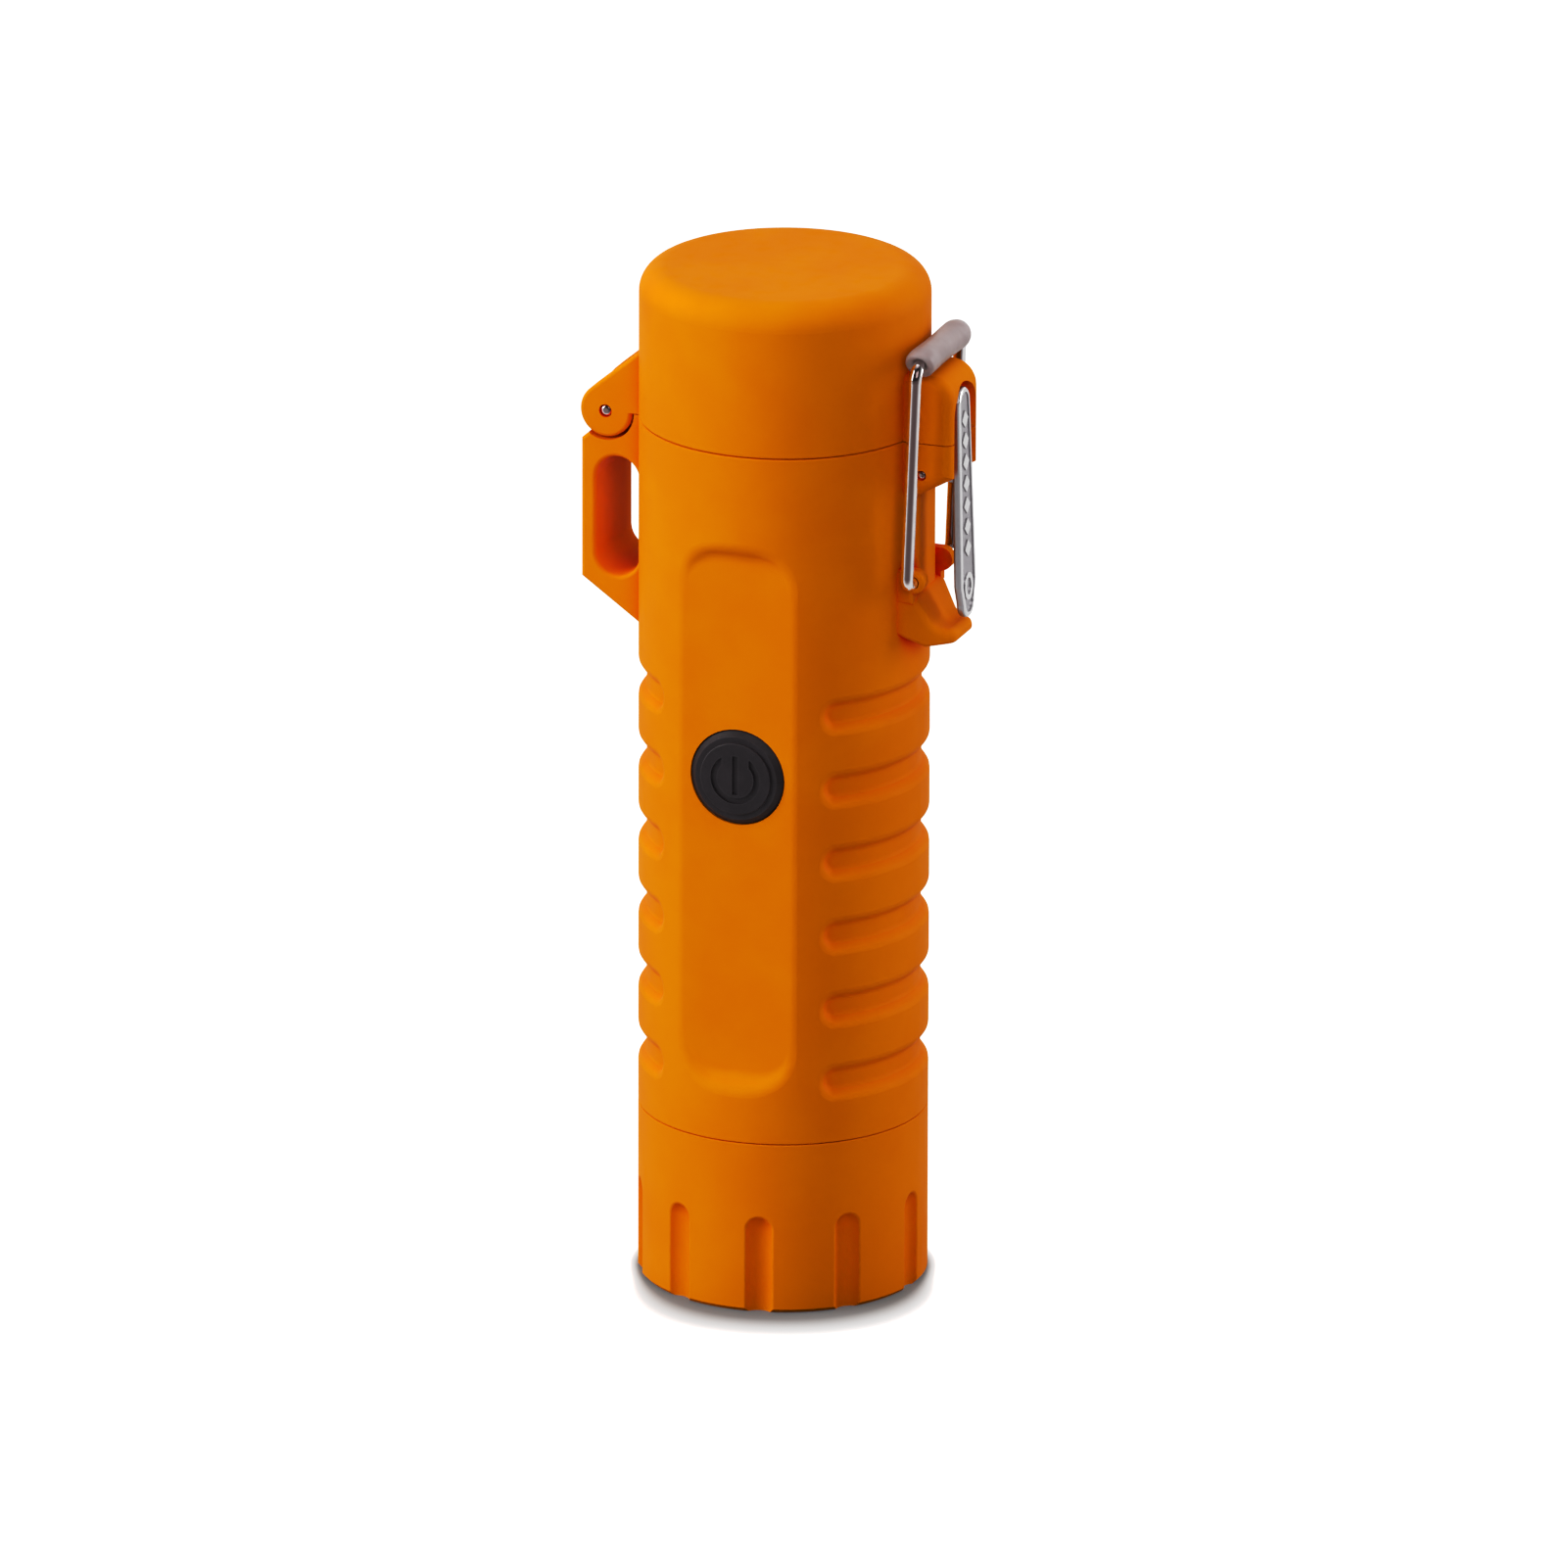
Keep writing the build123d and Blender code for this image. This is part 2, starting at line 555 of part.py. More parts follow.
def cap_liner():
    """Heat-proof cup pressed into the roof of the lid."""
    outer_r = LID_BORE_R - RUNNING_GAP
    liner = disc(outer_r, LINER_LOW_Z, LID_ROOF_Z)
    return liner - disc(outer_r - LINER_WALL, DECK_TOP_Z, LID_ROOF_Z - LINER_WALL)


def plate_plane():
    """Plane of the latch plate's outer face: local X along Y, local Y up the plate."""
    up = Vector(PLATE_TOP[0] - PLATE_LOW[0], 0, PLATE_TOP[1] - PLATE_LOW[1])
    middle = ((PLATE_TOP[0] + PLATE_LOW[0]) / 2, 0, (PLATE_TOP[1] + PLATE_LOW[1]) / 2)
    outward = Vector(0, 1, 0).cross(up)
    return Plane(middle, x_dir=(0, 1, 0), z_dir=outward)


def plate_outline(inset):
    """Round-topped strip that widens downward and then narrows to a small round foot."""
    half_length = math.dist(PLATE_TOP, PLATE_LOW) / 2
    top = PLATE_TOP_HALF_WIDTH - inset
    wide = PLATE_HALF_WIDTH - inset
    narrow = PLATE_END_HALF_WIDTH - inset
    shoulder = half_length - PLATE_TOP_HALF_WIDTH
    knee = -half_length + PLATE_TAPER_LENGTH
    foot = -half_length + PLATE_END_HALF_WIDTH
    left = Polyline((-narrow, foot), (-wide, knee), (-top, shoulder))
    crown = ThreePointArc((-top, shoulder), (0, shoulder + top), (top, shoulder))
    right = Polyline((top, shoulder), (wide, knee), (narrow, foot))
    sole = ThreePointArc((narrow, foot), (0, foot - narrow), (-narrow, foot))
    return make_face([left, crown, right, sole])


def plate_emblems():
    """Plain raised lozenges down the plate and one ring at its foot."""
    half_length = math.dist(PLATE_TOP, PLATE_LOW) / 2
    lozenge = Polygon((0, LOZENGE_HALF_HEIGHT), (-LOZENGE_HALF_WIDTH, 0),
                      (0, -LOZENGE_HALF_HEIGHT), (LOZENGE_HALF_WIDTH, 0))
    first = half_length - LOZENGE_TOP_MARGIN
    marks = [Pos(0, first - LOZENGE_PITCH * row) * lozenge for row in range(LOZENGE_COUNT)]
    eye = Ellipse(EYE_HALF_WIDTH, EYE_HALF_HEIGHT)
    eye -= Ellipse(EYE_HALF_WIDTH - EYE_BAND, EYE_HALF_HEIGHT - EYE_BAND)
    return marks + [Pos(0, -half_length + EYE_MARGIN) * eye]


def latch_plate():
    """Rocker plate: pressing its foot swings the hook at its top out of the lug."""
    plane = plate_plane()
    plate = extrude(plane * plate_outline(0), -PLATE_THICKNESS)
    rim_edges = plate.faces().filter_by(plane).edges()
    plate = fillet(rim_edges, PLATE_EDGE_R)
    plate -= extrude(plane * plate_outline(PLATE_RIM), -PLATE_RELIEF)
    relief_plane = plane.offset(-PLATE_RELIEF)
    plate += [extrude(relief_plane * mark, PLATE_RELIEF) for mark in plate_emblems()]
    inner_x = PLATE_TOP[0] - PLATE_THICKNESS / 2
    hook = block(HOOK_TIP_X, inner_x, -HOOK_HALF_Y, HOOK_HALF_Y, HOOK_LOW_Z, HOOK_TOP_Z)
    ear = cross_rod(LATCH_EAR_R, LATCH_X, LATCH_Z, LATCH_EAR_INNER_Y, LATCH_EAR_OUTER_Y)
    ear += block(LATCH_X, inner_x + 0.2, LATCH_EAR_INNER_Y, LATCH_EAR_OUTER_Y,
                 LATCH_Z - LATCH_EAR_R, LATCH_Z + LATCH_EAR_R)
    hole_r = LATCH_PIN_R + RUNNING_GAP
    ear -= cross_rod(hole_r, LATCH_X, LATCH_Z, 0, LATCH_EAR_OUTER_Y + 1)
    return plate + hook + mirrored_pair(ear)


def latch_pin():
    """Cross pin with domed ends, pressed into the block."""
    pin = cross_rod(LATCH_PIN_R, LATCH_X, LATCH_Z, -LUG_HALF_Y + PIN_INSET, LUG_HALF_Y - PIN_INSET)
    return fillet(pin.edges().filter_by(GeomType.CIRCLE), PIN_END_R)


def latch_spring():
    """Torsion spring round the latch pin; its legs push the plate's foot outward."""
    start_y = -SPRING_LENGTH / 2
    helix = Helix(SPRING_PITCH, SPRING_LENGTH, SPRING_COIL_R)
    start = helix @ 0
    coil = sweep(Plane(start, z_dir=helix % 0) * Circle(SPRING_WIRE_R), helix)
    coil = Pos(LATCH_X, start_y, LATCH_Z) * Rot(-90, 0, 0) * coil
    leg_place = Pos(LATCH_X - SPRING_COIL_R, -start_y, LATCH_Z)
    up_leg = leg_place * Cylinder(SPRING_WIRE_R, SPRING_LEG, align=LOW)
    return coil + up_leg


def bail_plane():
    """Plane of the wire bail: local X along Y, local Y from the pivots to the crossbar."""
    up = Vector(BAIL_TOP[0] - BAIL_X, 0, BAIL_TOP[1] - BAIL_Z)
    return Plane((BAIL_X, 0, BAIL_Z), x_dir=(0, 1, 0), z_dir=Vector(0, 1, 0).cross(up))


def bail_height():
    """Distance from the pivot axis to the crossbar's axis."""
    return math.dist(BAIL_TOP, (BAIL_X, BAIL_Z))


def bail_wire():
    """One bent wire: two feet in the boss, two legs and the crossbar."""
    span = BAIL_HALF_SPAN
    top = bail_height()
    foot = BAIL_FOOT_BEND_R
    bend = BAIL_TOP_BEND_R
    half = [Line((BAIL_FOOT_Y, 0), (span - foot, 0)),
            RadiusArc((span - foot, 0), (span, foot), -foot),
            Line((span, foot), (span, top - bend)),
            RadiusArc((span, top - bend), (span - bend, top), -bend),
            Line((span - bend, top), (0, top))]
    path = Wire(half)
    section = Plane(path @ 0, z_dir=path % 0) * Circle(BAIL_WIRE_R)
    side = bail_plane() * sweep(section, path)
    return side + mirror(side, about=Plane.XZ)


def bail_sleeve():
    """Soft tube over the crossbar that reaches a little way round both bends."""
    top = bail_height()
    bend = BAIL_TOP_BEND_R
    straight_end = BAIL_HALF_SPAN - bend
    wrap = math.radians(SLEEVE_WRAP)
    tip = (straight_end + bend * math.sin(wrap), top - bend + bend * math.cos(wrap))
    half = [Line((0, top), (straight_end, top)), RadiusArc((straight_end, top), tip, bend)]
    path = Wire(half)
    start = Plane(path @ 0, z_dir=path % 0)
    ring = start * (Circle(SLEEVE_R) - Circle(BAIL_WIRE_R + TOUCH))
    side = bail_plane() * sweep(ring, path)
    return side + mirror(side, about=Plane.XZ)


def power_symbol():
    """Broken ring with a bar through the gap, as a flat shape."""
    ring = Circle(ICON_RING_R) - Circle(ICON_RING_R - ICON_STROKE)
    gap = Pos(0, ICON_RING_R) * Rectangle(2 * ICON_GAP_HALF_WIDTH, ICON_RING_R)
    bar = Pos(0, ICON_BAR_TOP - ICON_BAR_LENGTH / 2) * Rectangle(ICON_STROKE, ICON_BAR_LENGTH)
    return (ring - gap) + bar


def button_cap():
    """Rubber push button with a bevelled rim, a raised centre and an inner flange."""
    rim = cross_rod(BUTTON_R, 0, BUTTON_Z, BUTTON_FACE_Y, BUTTON_SKIRT_Y)
    rim = chamfer(rim.edges().group_by(Axis.Y)[0], BUTTON_BEVEL)
    crown = cross_rod(BUTTON_CROWN_R, 0, BUTTON_Z, BUTTON_FACE_Y - BUTTON_CROWN, BUTTON_FACE_Y)
    crown = fillet(crown.edges().group_by(Axis.Y)[0], BUTTON_CROWN_EDGE_R)
    flange = cross_rod(BUTTON_FLANGE_R, 0, BUTTON_Z, BUTTON_SKIRT_Y, BUTTON_BACK_Y)
    face = Plane((0, BUTTON_FACE_Y - BUTTON_CROWN, BUTTON_Z), x_dir=(1, 0, 0), z_dir=(0, -1, 0))
    return rim + crown + flange - extrude(face * power_symbol(), -ICON_DEPTH)


def switch_stem():
    """Plunger of the tactile switch, pushed by the button."""
    return cross_rod(STEM_R, 0, BUTTON_Z, STEM_FRONT_Y, STEM_BACK_Y)


def tact_switch():
    """Switch housing soldered to the board behind the button."""
    housing = block(-SWITCH_HALF, SWITCH_HALF, SWITCH_FRONT_Y, BOARD_FRONT_Y,
                    BUTTON_Z - SWITCH_HALF, BUTTON_Z + SWITCH_HALF)
    return housing - cross_rod(STEM_R + RUNNING_GAP, 0, BUTTON_Z, SWITCH_FRONT_Y - 1, STEM_WELL_Y)


def flute_cutter(angle):
    """One round-bottomed flute with a round top that runs out at the base."""
    centre_z = FLUTE_TOP_Z - FLUTE_R
    cutter = disc(FLUTE_R, -1, centre_z, FLUTE_AXIS) + Pos(FLUTE_AXIS, 0, centre_z) * Sphere(FLUTE_R)
    return Rot(0, 0, angle) * cutter


def torch_head():
    """Fluted ring screwed on the spigot; its lip holds the lens."""
    head = disc(BODY_R, 0, HEAD_TOP_Z)
    head = chamfer(head.edges().group_by(Axis.Z)[0], BASE_EDGE)
    head = chamfer(head.edges().group_by(Axis.Z)[-1], HEAD_SEAM_EDGE)
    head -= [flute_cutter(FLUTE_START + 360 / FLUTE_COUNT * n) for n in range(FLUTE_COUNT)]
    head = fillet(surface_edges(head, BASE_EDGE + TOUCH, HEAD_TOP_Z - 1), FLUTE_EDGE_R)
    head -= disc(LIP_R, -1, LENS_LOW_Z)
    head -= disc(LENS_R + RUNNING_GAP, LENS_LOW_Z, SPIGOT_LOW_Z)
    return head - disc(HEAD_BORE_R, SPIGOT_LOW_Z, HEAD_TOP_Z + 1)


def lens():
    """Flat clear window of the torch."""
    return disc(LENS_R, LENS_LOW_Z, LENS_TOP_Z)


def lens_gasket():
    """Flat seal behind the lens."""
    return tube(LENS_R, REFLECTOR_MOUTH_R, LENS_TOP_Z, GASKET_TOP_Z)


def reflector():
    """Parabolic cup with a flange that the spigot clamps."""
    mouth = REFLECTOR_MOUTH_R - REFLECTOR_WALL
    neck = REFLECTOR_NECK_R - REFLECTOR_WALL
    bowl = Spline((neck, REFLECTOR_TOP_Z), (mouth * BOWL_MIDDLE[0], BOWL_MIDDLE[1]), (mouth, GASKET_TOP_Z),
                  tangents=((1, -0.1), (0.35, -1)))
    outside = Spline((REFLECTOR_MOUTH_R, FLANGE_TOP_Z), (mouth * BACK_MIDDLE[0], BACK_MIDDLE[1]),
                     (REFLECTOR_NECK_R, REFLECTOR_TOP_Z + REFLECTOR_WALL),
                     tangents=((-0.35, 1), (-1, 0.1)))
    edge = Polyline((mouth, GASKET_TOP_Z), (LENS_R, GASKET_TOP_Z), (LENS_R, FLANGE_TOP_Z),
                    (REFLECTOR_MOUTH_R, FLANGE_TOP_Z))
    neck_edge = Line((REFLECTOR_NECK_R, REFLECTOR_TOP_Z + REFLECTOR_WALL), (neck, REFLECTOR_TOP_Z))
    return revolve(Plane.XZ * make_face([bowl, edge, outside, neck_edge]), Axis.Z)


def led():
    """Light-emitting diode with a domed window that looks down."""
    height = LED_BOARD_LOW_Z - LED_BASE_LOW_Z
    base = Pos(0, 0, LED_BASE_LOW_Z) * Box(LED_WIDTH, LED_WIDTH, height, align=LOW)
    dome = Pos(0, 0, LED_BASE_LOW_Z) * Sphere(LED_DOME_R)
    behind = disc(2 * LED_DOME_R, LED_BOARD_LOW_Z, LED_BOARD_TOP_Z)
    return base + (dome - behind)


def lead_bars(z_low, z_high, radius):
    """Two upright bars where the torch's supply wires run."""
    return [disc(radius, z_low, z_high, x, LEAD_Y) for x in (-LEAD_X, LEAD_X)]


def led_board():
    """Round metal-core board that carries the diode."""
    return disc(LED_BOARD_R, LED_BOARD_LOW_Z, LED_BOARD_TOP_Z)


def heat_spreader():
    """Aluminium plug behind the diode's board."""
    plug = disc(SPIGOT_BORE_R - RUNNING_GAP, LED_BOARD_TOP_Z, SPREADER_TOP_Z)
    return plug - lead_bars(LED_BOARD_TOP_Z, SPREADER_TOP_Z, LEAD_R + LEAD_CLEARANCE)


def led_leads():
    """Two insulated wires from the diode's board to the main board."""
    return Compound(lead_bars(LED_BOARD_TOP_Z + LEAD_END_GAP, BOARD_LOW_Z + 2, LEAD_R))


def rail(side):
    """Upright rail of the chassis on one side."""
    x_low, x_high = sorted((side * RAIL_INNER_X, side * RAIL_OUTER_X))
    return block(x_low, x_high, RAIL_LOW_Y, RAIL_HIGH_Y, FRAME_LOW_Z, FRAME_TOP_Z)


def board_screw_places():
    """Positions of the screws that hold the board on the rails."""
    return [(x, z) for x in (-BOARD_SCREW_X, BOARD_SCREW_X) for z in BOARD_SCREW_LEVELS]


def inner_frame():
    """Chassis: floor and roof discs joined by two rails."""
    frame = disc(FRAME_R, FRAME_LOW_Z, FRAME_FLOOR_Z) + disc(FRAME_R, FRAME_ROOF_Z, FRAME_TOP_Z)
    frame += [rail(side) for side in (-1, 1)]
    frame -= disc(FRAME_WINDOW_R, FRAME_ROOF_Z - 1, FRAME_TOP_Z + 1)
    frame -= lead_bars(FRAME_LOW_Z - 1, FRAME_FLOOR_Z + 1, LEAD_R + LEAD_CLEARANCE)
    frame -= [cross_rod(SCREW_R, x, z, BOARD_FRONT_Y, RAIL_HIGH_Y - 1) for x, z in board_screw_places()]
    holes = [disc(SCREW_R + 2 * RUNNING_GAP, FRAME_ROOF_Z - 1, FRAME_TOP_Z + 1, x) for x in
             (-FRAME_SCREW_X, FRAME_SCREW_X)]
    return frame - holes


def circuit_board():
    """Main board with charging, torch and arc driver circuits."""
    board = block(-BOARD_HALF_X, BOARD_HALF_X, BOARD_FRONT_Y, RAIL_LOW_Y, BOARD_LOW_Z, BOARD_TOP_Z)
    return board - [cross_rod(SCREW_R, x, z, BOARD_FRONT_Y - 1, RAIL_LOW_Y + 1)
                    for x, z in board_screw_places()]


def board_screws():
    """Four small screws that hold the board on the rails."""
    screws = []
    for x, z in board_screw_places():
        shank = cross_rod(SCREW_R, x, z, BOARD_FRONT_Y, RAIL_HIGH_Y - 1)
        head = cross_rod(BOARD_HEAD_R, x, z, BOARD_FRONT_Y - BOARD_HEAD_HEIGHT, BOARD_FRONT_Y)
        screws.append(shank + head)
    return Compound(screws)


def battery_cell():
    """Rechargeable cell with its small positive cap."""
    shoulder_z = CELL_TOP_Z - CELL_CAP_HEIGHT
    cell = disc(CELL_R, CELL_LOW_Z, shoulder_z, 0, CELL_Y)
    cell = fillet(cell.edges().filter_by(GeomType.CIRCLE), CELL_EDGE_R)
    return cell + disc(CELL_CAP_R, shoulder_z, CELL_TOP_Z, 0, CELL_Y)


def battery_tab(z_flat, z_low, z_high):
    """Thin strip from one end of the cell to the back of the board."""
    back_y = RAIL_LOW_Y + RUNNING_GAP
    flat = block(-TAB_HALF_WIDTH, TAB_HALF_WIDTH, back_y, CELL_Y + TAB_HALF_WIDTH,
                 z_flat, z_flat + TAB_THICKNESS)
    return flat + block(-TAB_HALF_WIDTH, TAB_HALF_WIDTH, back_y, back_y + TAB_THICKNESS, z_low, z_high)


def battery_tabs():
    """Two strips that connect the cell to the board."""
    low_z = CELL_LOW_Z - RUNNING_GAP - TAB_THICKNESS
    high_z = CELL_TOP_Z + RUNNING_GAP
    low = battery_tab(low_z, low_z, low_z + TAB_LENGTH)
    high = battery_tab(high_z, high_z - TAB_LENGTH, high_z + TAB_THICKNESS)
    return Compound([low, high])


def arc_transformer():
    """High-voltage transformer: bobbin flanges with the winding between them."""
    middle_y = (COIL_LOW_Y + COIL_HIGH_Y) / 2
    inner_low_z = COIL_LOW_Z + BOBBIN_FLANGE
    inner_top_z = COIL_TOP_Z - BOBBIN_FLANGE
    low = block(-COIL_HALF_X, COIL_HALF_X, COIL_LOW_Y, COIL_HIGH_Y, COIL_LOW_Z, inner_low_z)
    high = block(-COIL_HALF_X, COIL_HALF_X, COIL_LOW_Y, COIL_HIGH_Y, inner_top_z, COIL_TOP_Z)
    return low + high + disc(WINDING_R, inner_low_z, inner_top_z, 0, middle_y)


def electrode_places():
    """Corners of the square on which the four electrodes stand."""
    offset = ELECTRODE_OFFSET
    return [(offset, offset), (-offset, offset), (-offset, -offset), (offset, -offset)]


def electrode_leads():
    """Four insulated high-voltage wires from the transformer to the electrodes."""
    leads = []
    for x, y in electrode_places():
        start = (x, (COIL_LOW_Y + COIL_HIGH_Y + y) / 2, COIL_TOP_Z + LEAD_END_GAP)
        path = Spline(start, (x, y, ELECTRODE_LOW_Z - LEAD_END_GAP), tangents=((0, 0, 1), (0, 0, 1)))
        leads.append(sweep(Plane(start, z_dir=(0, 0, 1)) * Circle(LEAD_R), path))
    return Compound(leads)


def electrodes():
    """Four tungsten rods between which the two arcs cross."""
    rods = [disc(ELECTRODE_R, ELECTRODE_LOW_Z, ELECTRODE_TOP_Z, x, y) for x, y in electrode_places()]
    return Compound([fillet(rod.edges().group_by(Axis.Z)[-1], ELECTRODE_TIP_R) for rod in rods])


def arc_head():
    """Ceramic plug with a cross-shaped trough where the arcs burn."""
    head = disc(ARC_BASE_R, ARC_BASE_LOW_Z, DECK_TOP_Z) + disc(ARC_HEAD_R, DECK_TOP_Z, ARC_TOP_Z)
    head = chamfer(head.edges().group_by(Axis.Z)[-1], TOP_BEVEL)
    for angle in (45, 135):
        trough = Box(2 * ARC_HEAD_R + 2, TROUGH_WIDTH, ARC_TOP_Z, align=LOW)
        head -= Pos(0, 0, ARC_FLOOR_Z) * Rot(0, 0, angle) * trough
    return head - [disc(ELECTRODE_R, ARC_BASE_LOW_Z - 1, ARC_TOP_Z, x, y) for x, y in electrode_places()]


def neck_collar():
    """Neck under the lid: deck, seal groove, port slot and screw bosses."""
    outer_r = BORE_R - RUNNING_GAP
    neck = disc(outer_r, NECK_LOW_Z, BODY_TOP_Z) + disc(NECK_R, BODY_TOP_Z, DECK_TOP_Z)
    neck = chamfer(neck.edges().group_by(Axis.Z)[-1], TOP_BEVEL)
    neck -= disc(NECK_WALL_R, NECK_LOW_Z - 1, DECK_LOW_Z)
    neck += [disc(NECK_BOSS_R, NECK_LOW_Z, DECK_LOW_Z, x) for x in (-FRAME_SCREW_X, FRAME_SCREW_X)]
    neck -= disc(ARC_BASE_R + RUNNING_GAP, DECK_LOW_Z - 1, DECK_TOP_Z + 1)
    neck -= block(-PORT_HALF_X, PORT_HALF_X, PORT_LOW_Y, PORT_HIGH_Y, PORT_LOW_Z - 1, DECK_TOP_Z + 1)
    neck -= neck_o_ring()
    screw_holes = [disc(SCREW_R, NECK_LOW_Z - 1, FRAME_SCREW_TOP_Z + 2 * RUNNING_GAP, x)
                   for x in (-FRAME_SCREW_X, FRAME_SCREW_X)]
    return neck - screw_holes


def frame_screws():
    """Two screws that hold the chassis to the neck."""
    screws = []
    for x in (-FRAME_SCREW_X, FRAME_SCREW_X):
        shank = disc(SCREW_R, FRAME_ROOF_Z, FRAME_SCREW_TOP_Z, x)
        screws.append(shank + disc(FRAME_HEAD_R, FRAME_ROOF_Z - FRAME_HEAD_HEIGHT, FRAME_ROOF_Z, x))
    return Compound(screws)


def charge_port():
    """Steel shell of the charging socket, open at the deck."""
    shell = block(-PORT_HALF_X, PORT_HALF_X, PORT_LOW_Y, PORT_HIGH_Y, PORT_LOW_Z, DECK_TOP_Z)
    shell = fillet(shell.edges().filter_by(Axis.Z), PORT_CORNER_R)
    hollow = block(-PORT_HALF_X + PORT_WALL, PORT_HALF_X - PORT_WALL, PORT_LOW_Y + PORT_WALL,
                   PORT_HIGH_Y - PORT_WALL, PORT_FLOOR_Z, DECK_TOP_Z + 1)
    return shell - fillet(hollow.edges().filter_by(Axis.Z), PORT_CORNER_R - PORT_WALL)


def port_tongue():
    """Contact tongue inside the charging socket."""
    middle = (PORT_LOW_Y + PORT_HIGH_Y) / 2
    return block(-TONGUE_HALF_X, TONGUE_HALF_X, middle - TONGUE_HALF_Y, middle + TONGUE_HALF_Y,
                 PORT_FLOOR_Z, DECK_TOP_Z - TONGUE_DEPTH)


PIECES = [
    cap_shell, cap_liner,
    body_shell, hinge_pin, latch_pin, latch_spring, latch_plate, bail_wire, bail_sleeve,
    button_cap, switch_stem, tact_switch, circuit_board, board_screws,
    battery_cell, battery_tabs, arc_transformer, electrode_leads, electrodes, arc_head,
    neck_collar, neck_o_ring, frame_screws, charge_port, port_tongue, inner_frame,
    led_leads, heat_spreader, led_board, led, reflector, lens_gasket, lens,
    torch_head, head_o_ring,
]

os.makedirs("parts", exist_ok=True)
for piece in PIECES:
    export_step(piece(), f"parts/{piece.__name__}.step")
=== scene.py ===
import json
import math

import bmesh
import bpy
from mathutils import Matrix, Vector


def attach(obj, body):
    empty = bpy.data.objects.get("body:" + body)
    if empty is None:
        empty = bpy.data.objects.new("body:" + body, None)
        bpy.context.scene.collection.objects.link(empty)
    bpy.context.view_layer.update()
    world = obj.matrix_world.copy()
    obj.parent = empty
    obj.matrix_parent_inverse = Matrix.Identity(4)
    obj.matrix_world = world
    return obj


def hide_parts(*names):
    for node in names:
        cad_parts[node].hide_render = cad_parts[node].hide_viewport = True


MM = 0.001

# Camera: a long lens that looks slightly down on the front, turned towards the latch
VIEW_AZIMUTH = math.radians(20.5)
VIEW_ELEVATION = math.radians(18.7)
VIEW_DISTANCE = 2.5
VIEW_HEIGHT = 49.1 * MM
VIEW_ROLL = math.radians(0.15)
VIEW_WIDTH = 150.8 * MM
SENSOR = 36.0

# Soft lights: degrees to the right of the camera, degrees above the floor, distance, size, power
LIGHTS = {
    "key": (-75, 24, 0.6, (0.3, 0.45), 2.6),
    "fill": (15, 30, 0.8, (0.5, 0.4), 1.45),
    "rim": (105, 10, 0.6, (0.15, 0.4), 1.2),
    "top": (0, 85, 0.7, (0.5, 0.5), 1.2),
}

# Surroundings: their strength as a light rises from the camera's side to the far side, between
# two cosines of the angle to the line of sight, and mirrors see them brighter
WORLD_FRONT = 0.06
WORLD_BACK = 0.45
WORLD_FRONT_COSINE = -0.9
WORLD_BACK_COSINE = 0.7
MIRRORED_GAIN = 0.8

# Floor: glows white to the eye, and less in mirrors; its bounce light is weaker than its look
FLOOR_SIZE = 6.0
FLOOR_PATCH = 0.4
FLOOR_GLOW = 0.85
FLOOR_MIRRORED_SHARE = 0.35
FLOOR_BOUNCE_SHARE = 0.65

# Painted contact shadow on the floor: it starts under the base and reaches farthest towards the camera
SHADOW_START_R = 13.6 * MM
SHADOW_SIDE_REACH = 1.3 * MM
SHADOW_FRONT_REACH = 7.3 * MM
SHADOW_TURN = 1.4
SHADOW_FADE = 1.6
SHADOW_CORE = 0.12

# Colour response: a gentle S, as (scene value, shown value)
RESPONSE = ((0.0, 0.0), (0.10, 0.062), (0.24, 0.235), (0.36, 0.42), (0.55, 0.64), (0.85, 0.84), (1.0, 1.0))
COMBINED_CURVE = 3

# Sockets of the Mix node that work on colours: factor, first and second, and the result
MIX_INPUTS = (0, 6, 7)
MIX_RESULT = 2

# Noise values between which one tone gives way to another
SOFT_BLEND = (0.3, 0.7)
CRISP_BLEND = (0.35, 0.65)

# Cosine between the true and the rounded normal: off an edge, and on a sharp one
EDGE_BLEND = (0.985, 0.82)
EDGE_SAMPLES = 4

# Share of open surroundings, which masks the painted shade in hollows: on open surface, and deep in a hollow
HOLLOW_BLEND = (0.84, 0.45)
HOLLOW_SAMPLES = 6

# Latch plate: a point on its outer face, the way that face looks, and how far its ground is sunk
PLATE_POINT = Vector((18.3, 0, 91.3)) * MM
PLATE_FACING = Vector((0.9996, 0, 0.0283))
PLATE_RELIEF = 0.15 * MM

# Bail: the middle of its crossbar, and the bends at the crossbar's ends
BAIL_CROSSBAR = Vector((15.6, 0, 94.85)) * MM
BAIL_HALF_SPAN = 6.1 * MM
BAIL_BEND_R = 1.6 * MM

# Soft sleeve on the crossbar: it follows the bends through the wrap's angle
SLEEVE_R = 1.47 * MM
SLEEVE_BORE_R = 0.62 * MM
SLEEVE_WRAP = math.radians(30)
SLEEVE_LIP_R = 0.3 * MM
SLEEVE_WAIST = 0.05
SLEEVE_SIDES = 48
SLEEVE_STATIONS = 40
SLEEVE_LIP_STEPS = 3


def heading(azimuth, elevation):
    """Unit vector out of the object: azimuth is counted from its front towards the latch."""
    flat = math.cos(elevation)
    return Vector((math.sin(azimuth) * flat, -math.cos(azimuth) * flat, math.sin(elevation)))


def add_object(name, data):
    """A new object in the scene."""
    made = bpy.data.objects.new(name, data)
    bpy.context.scene.collection.objects.link(made)
    return made


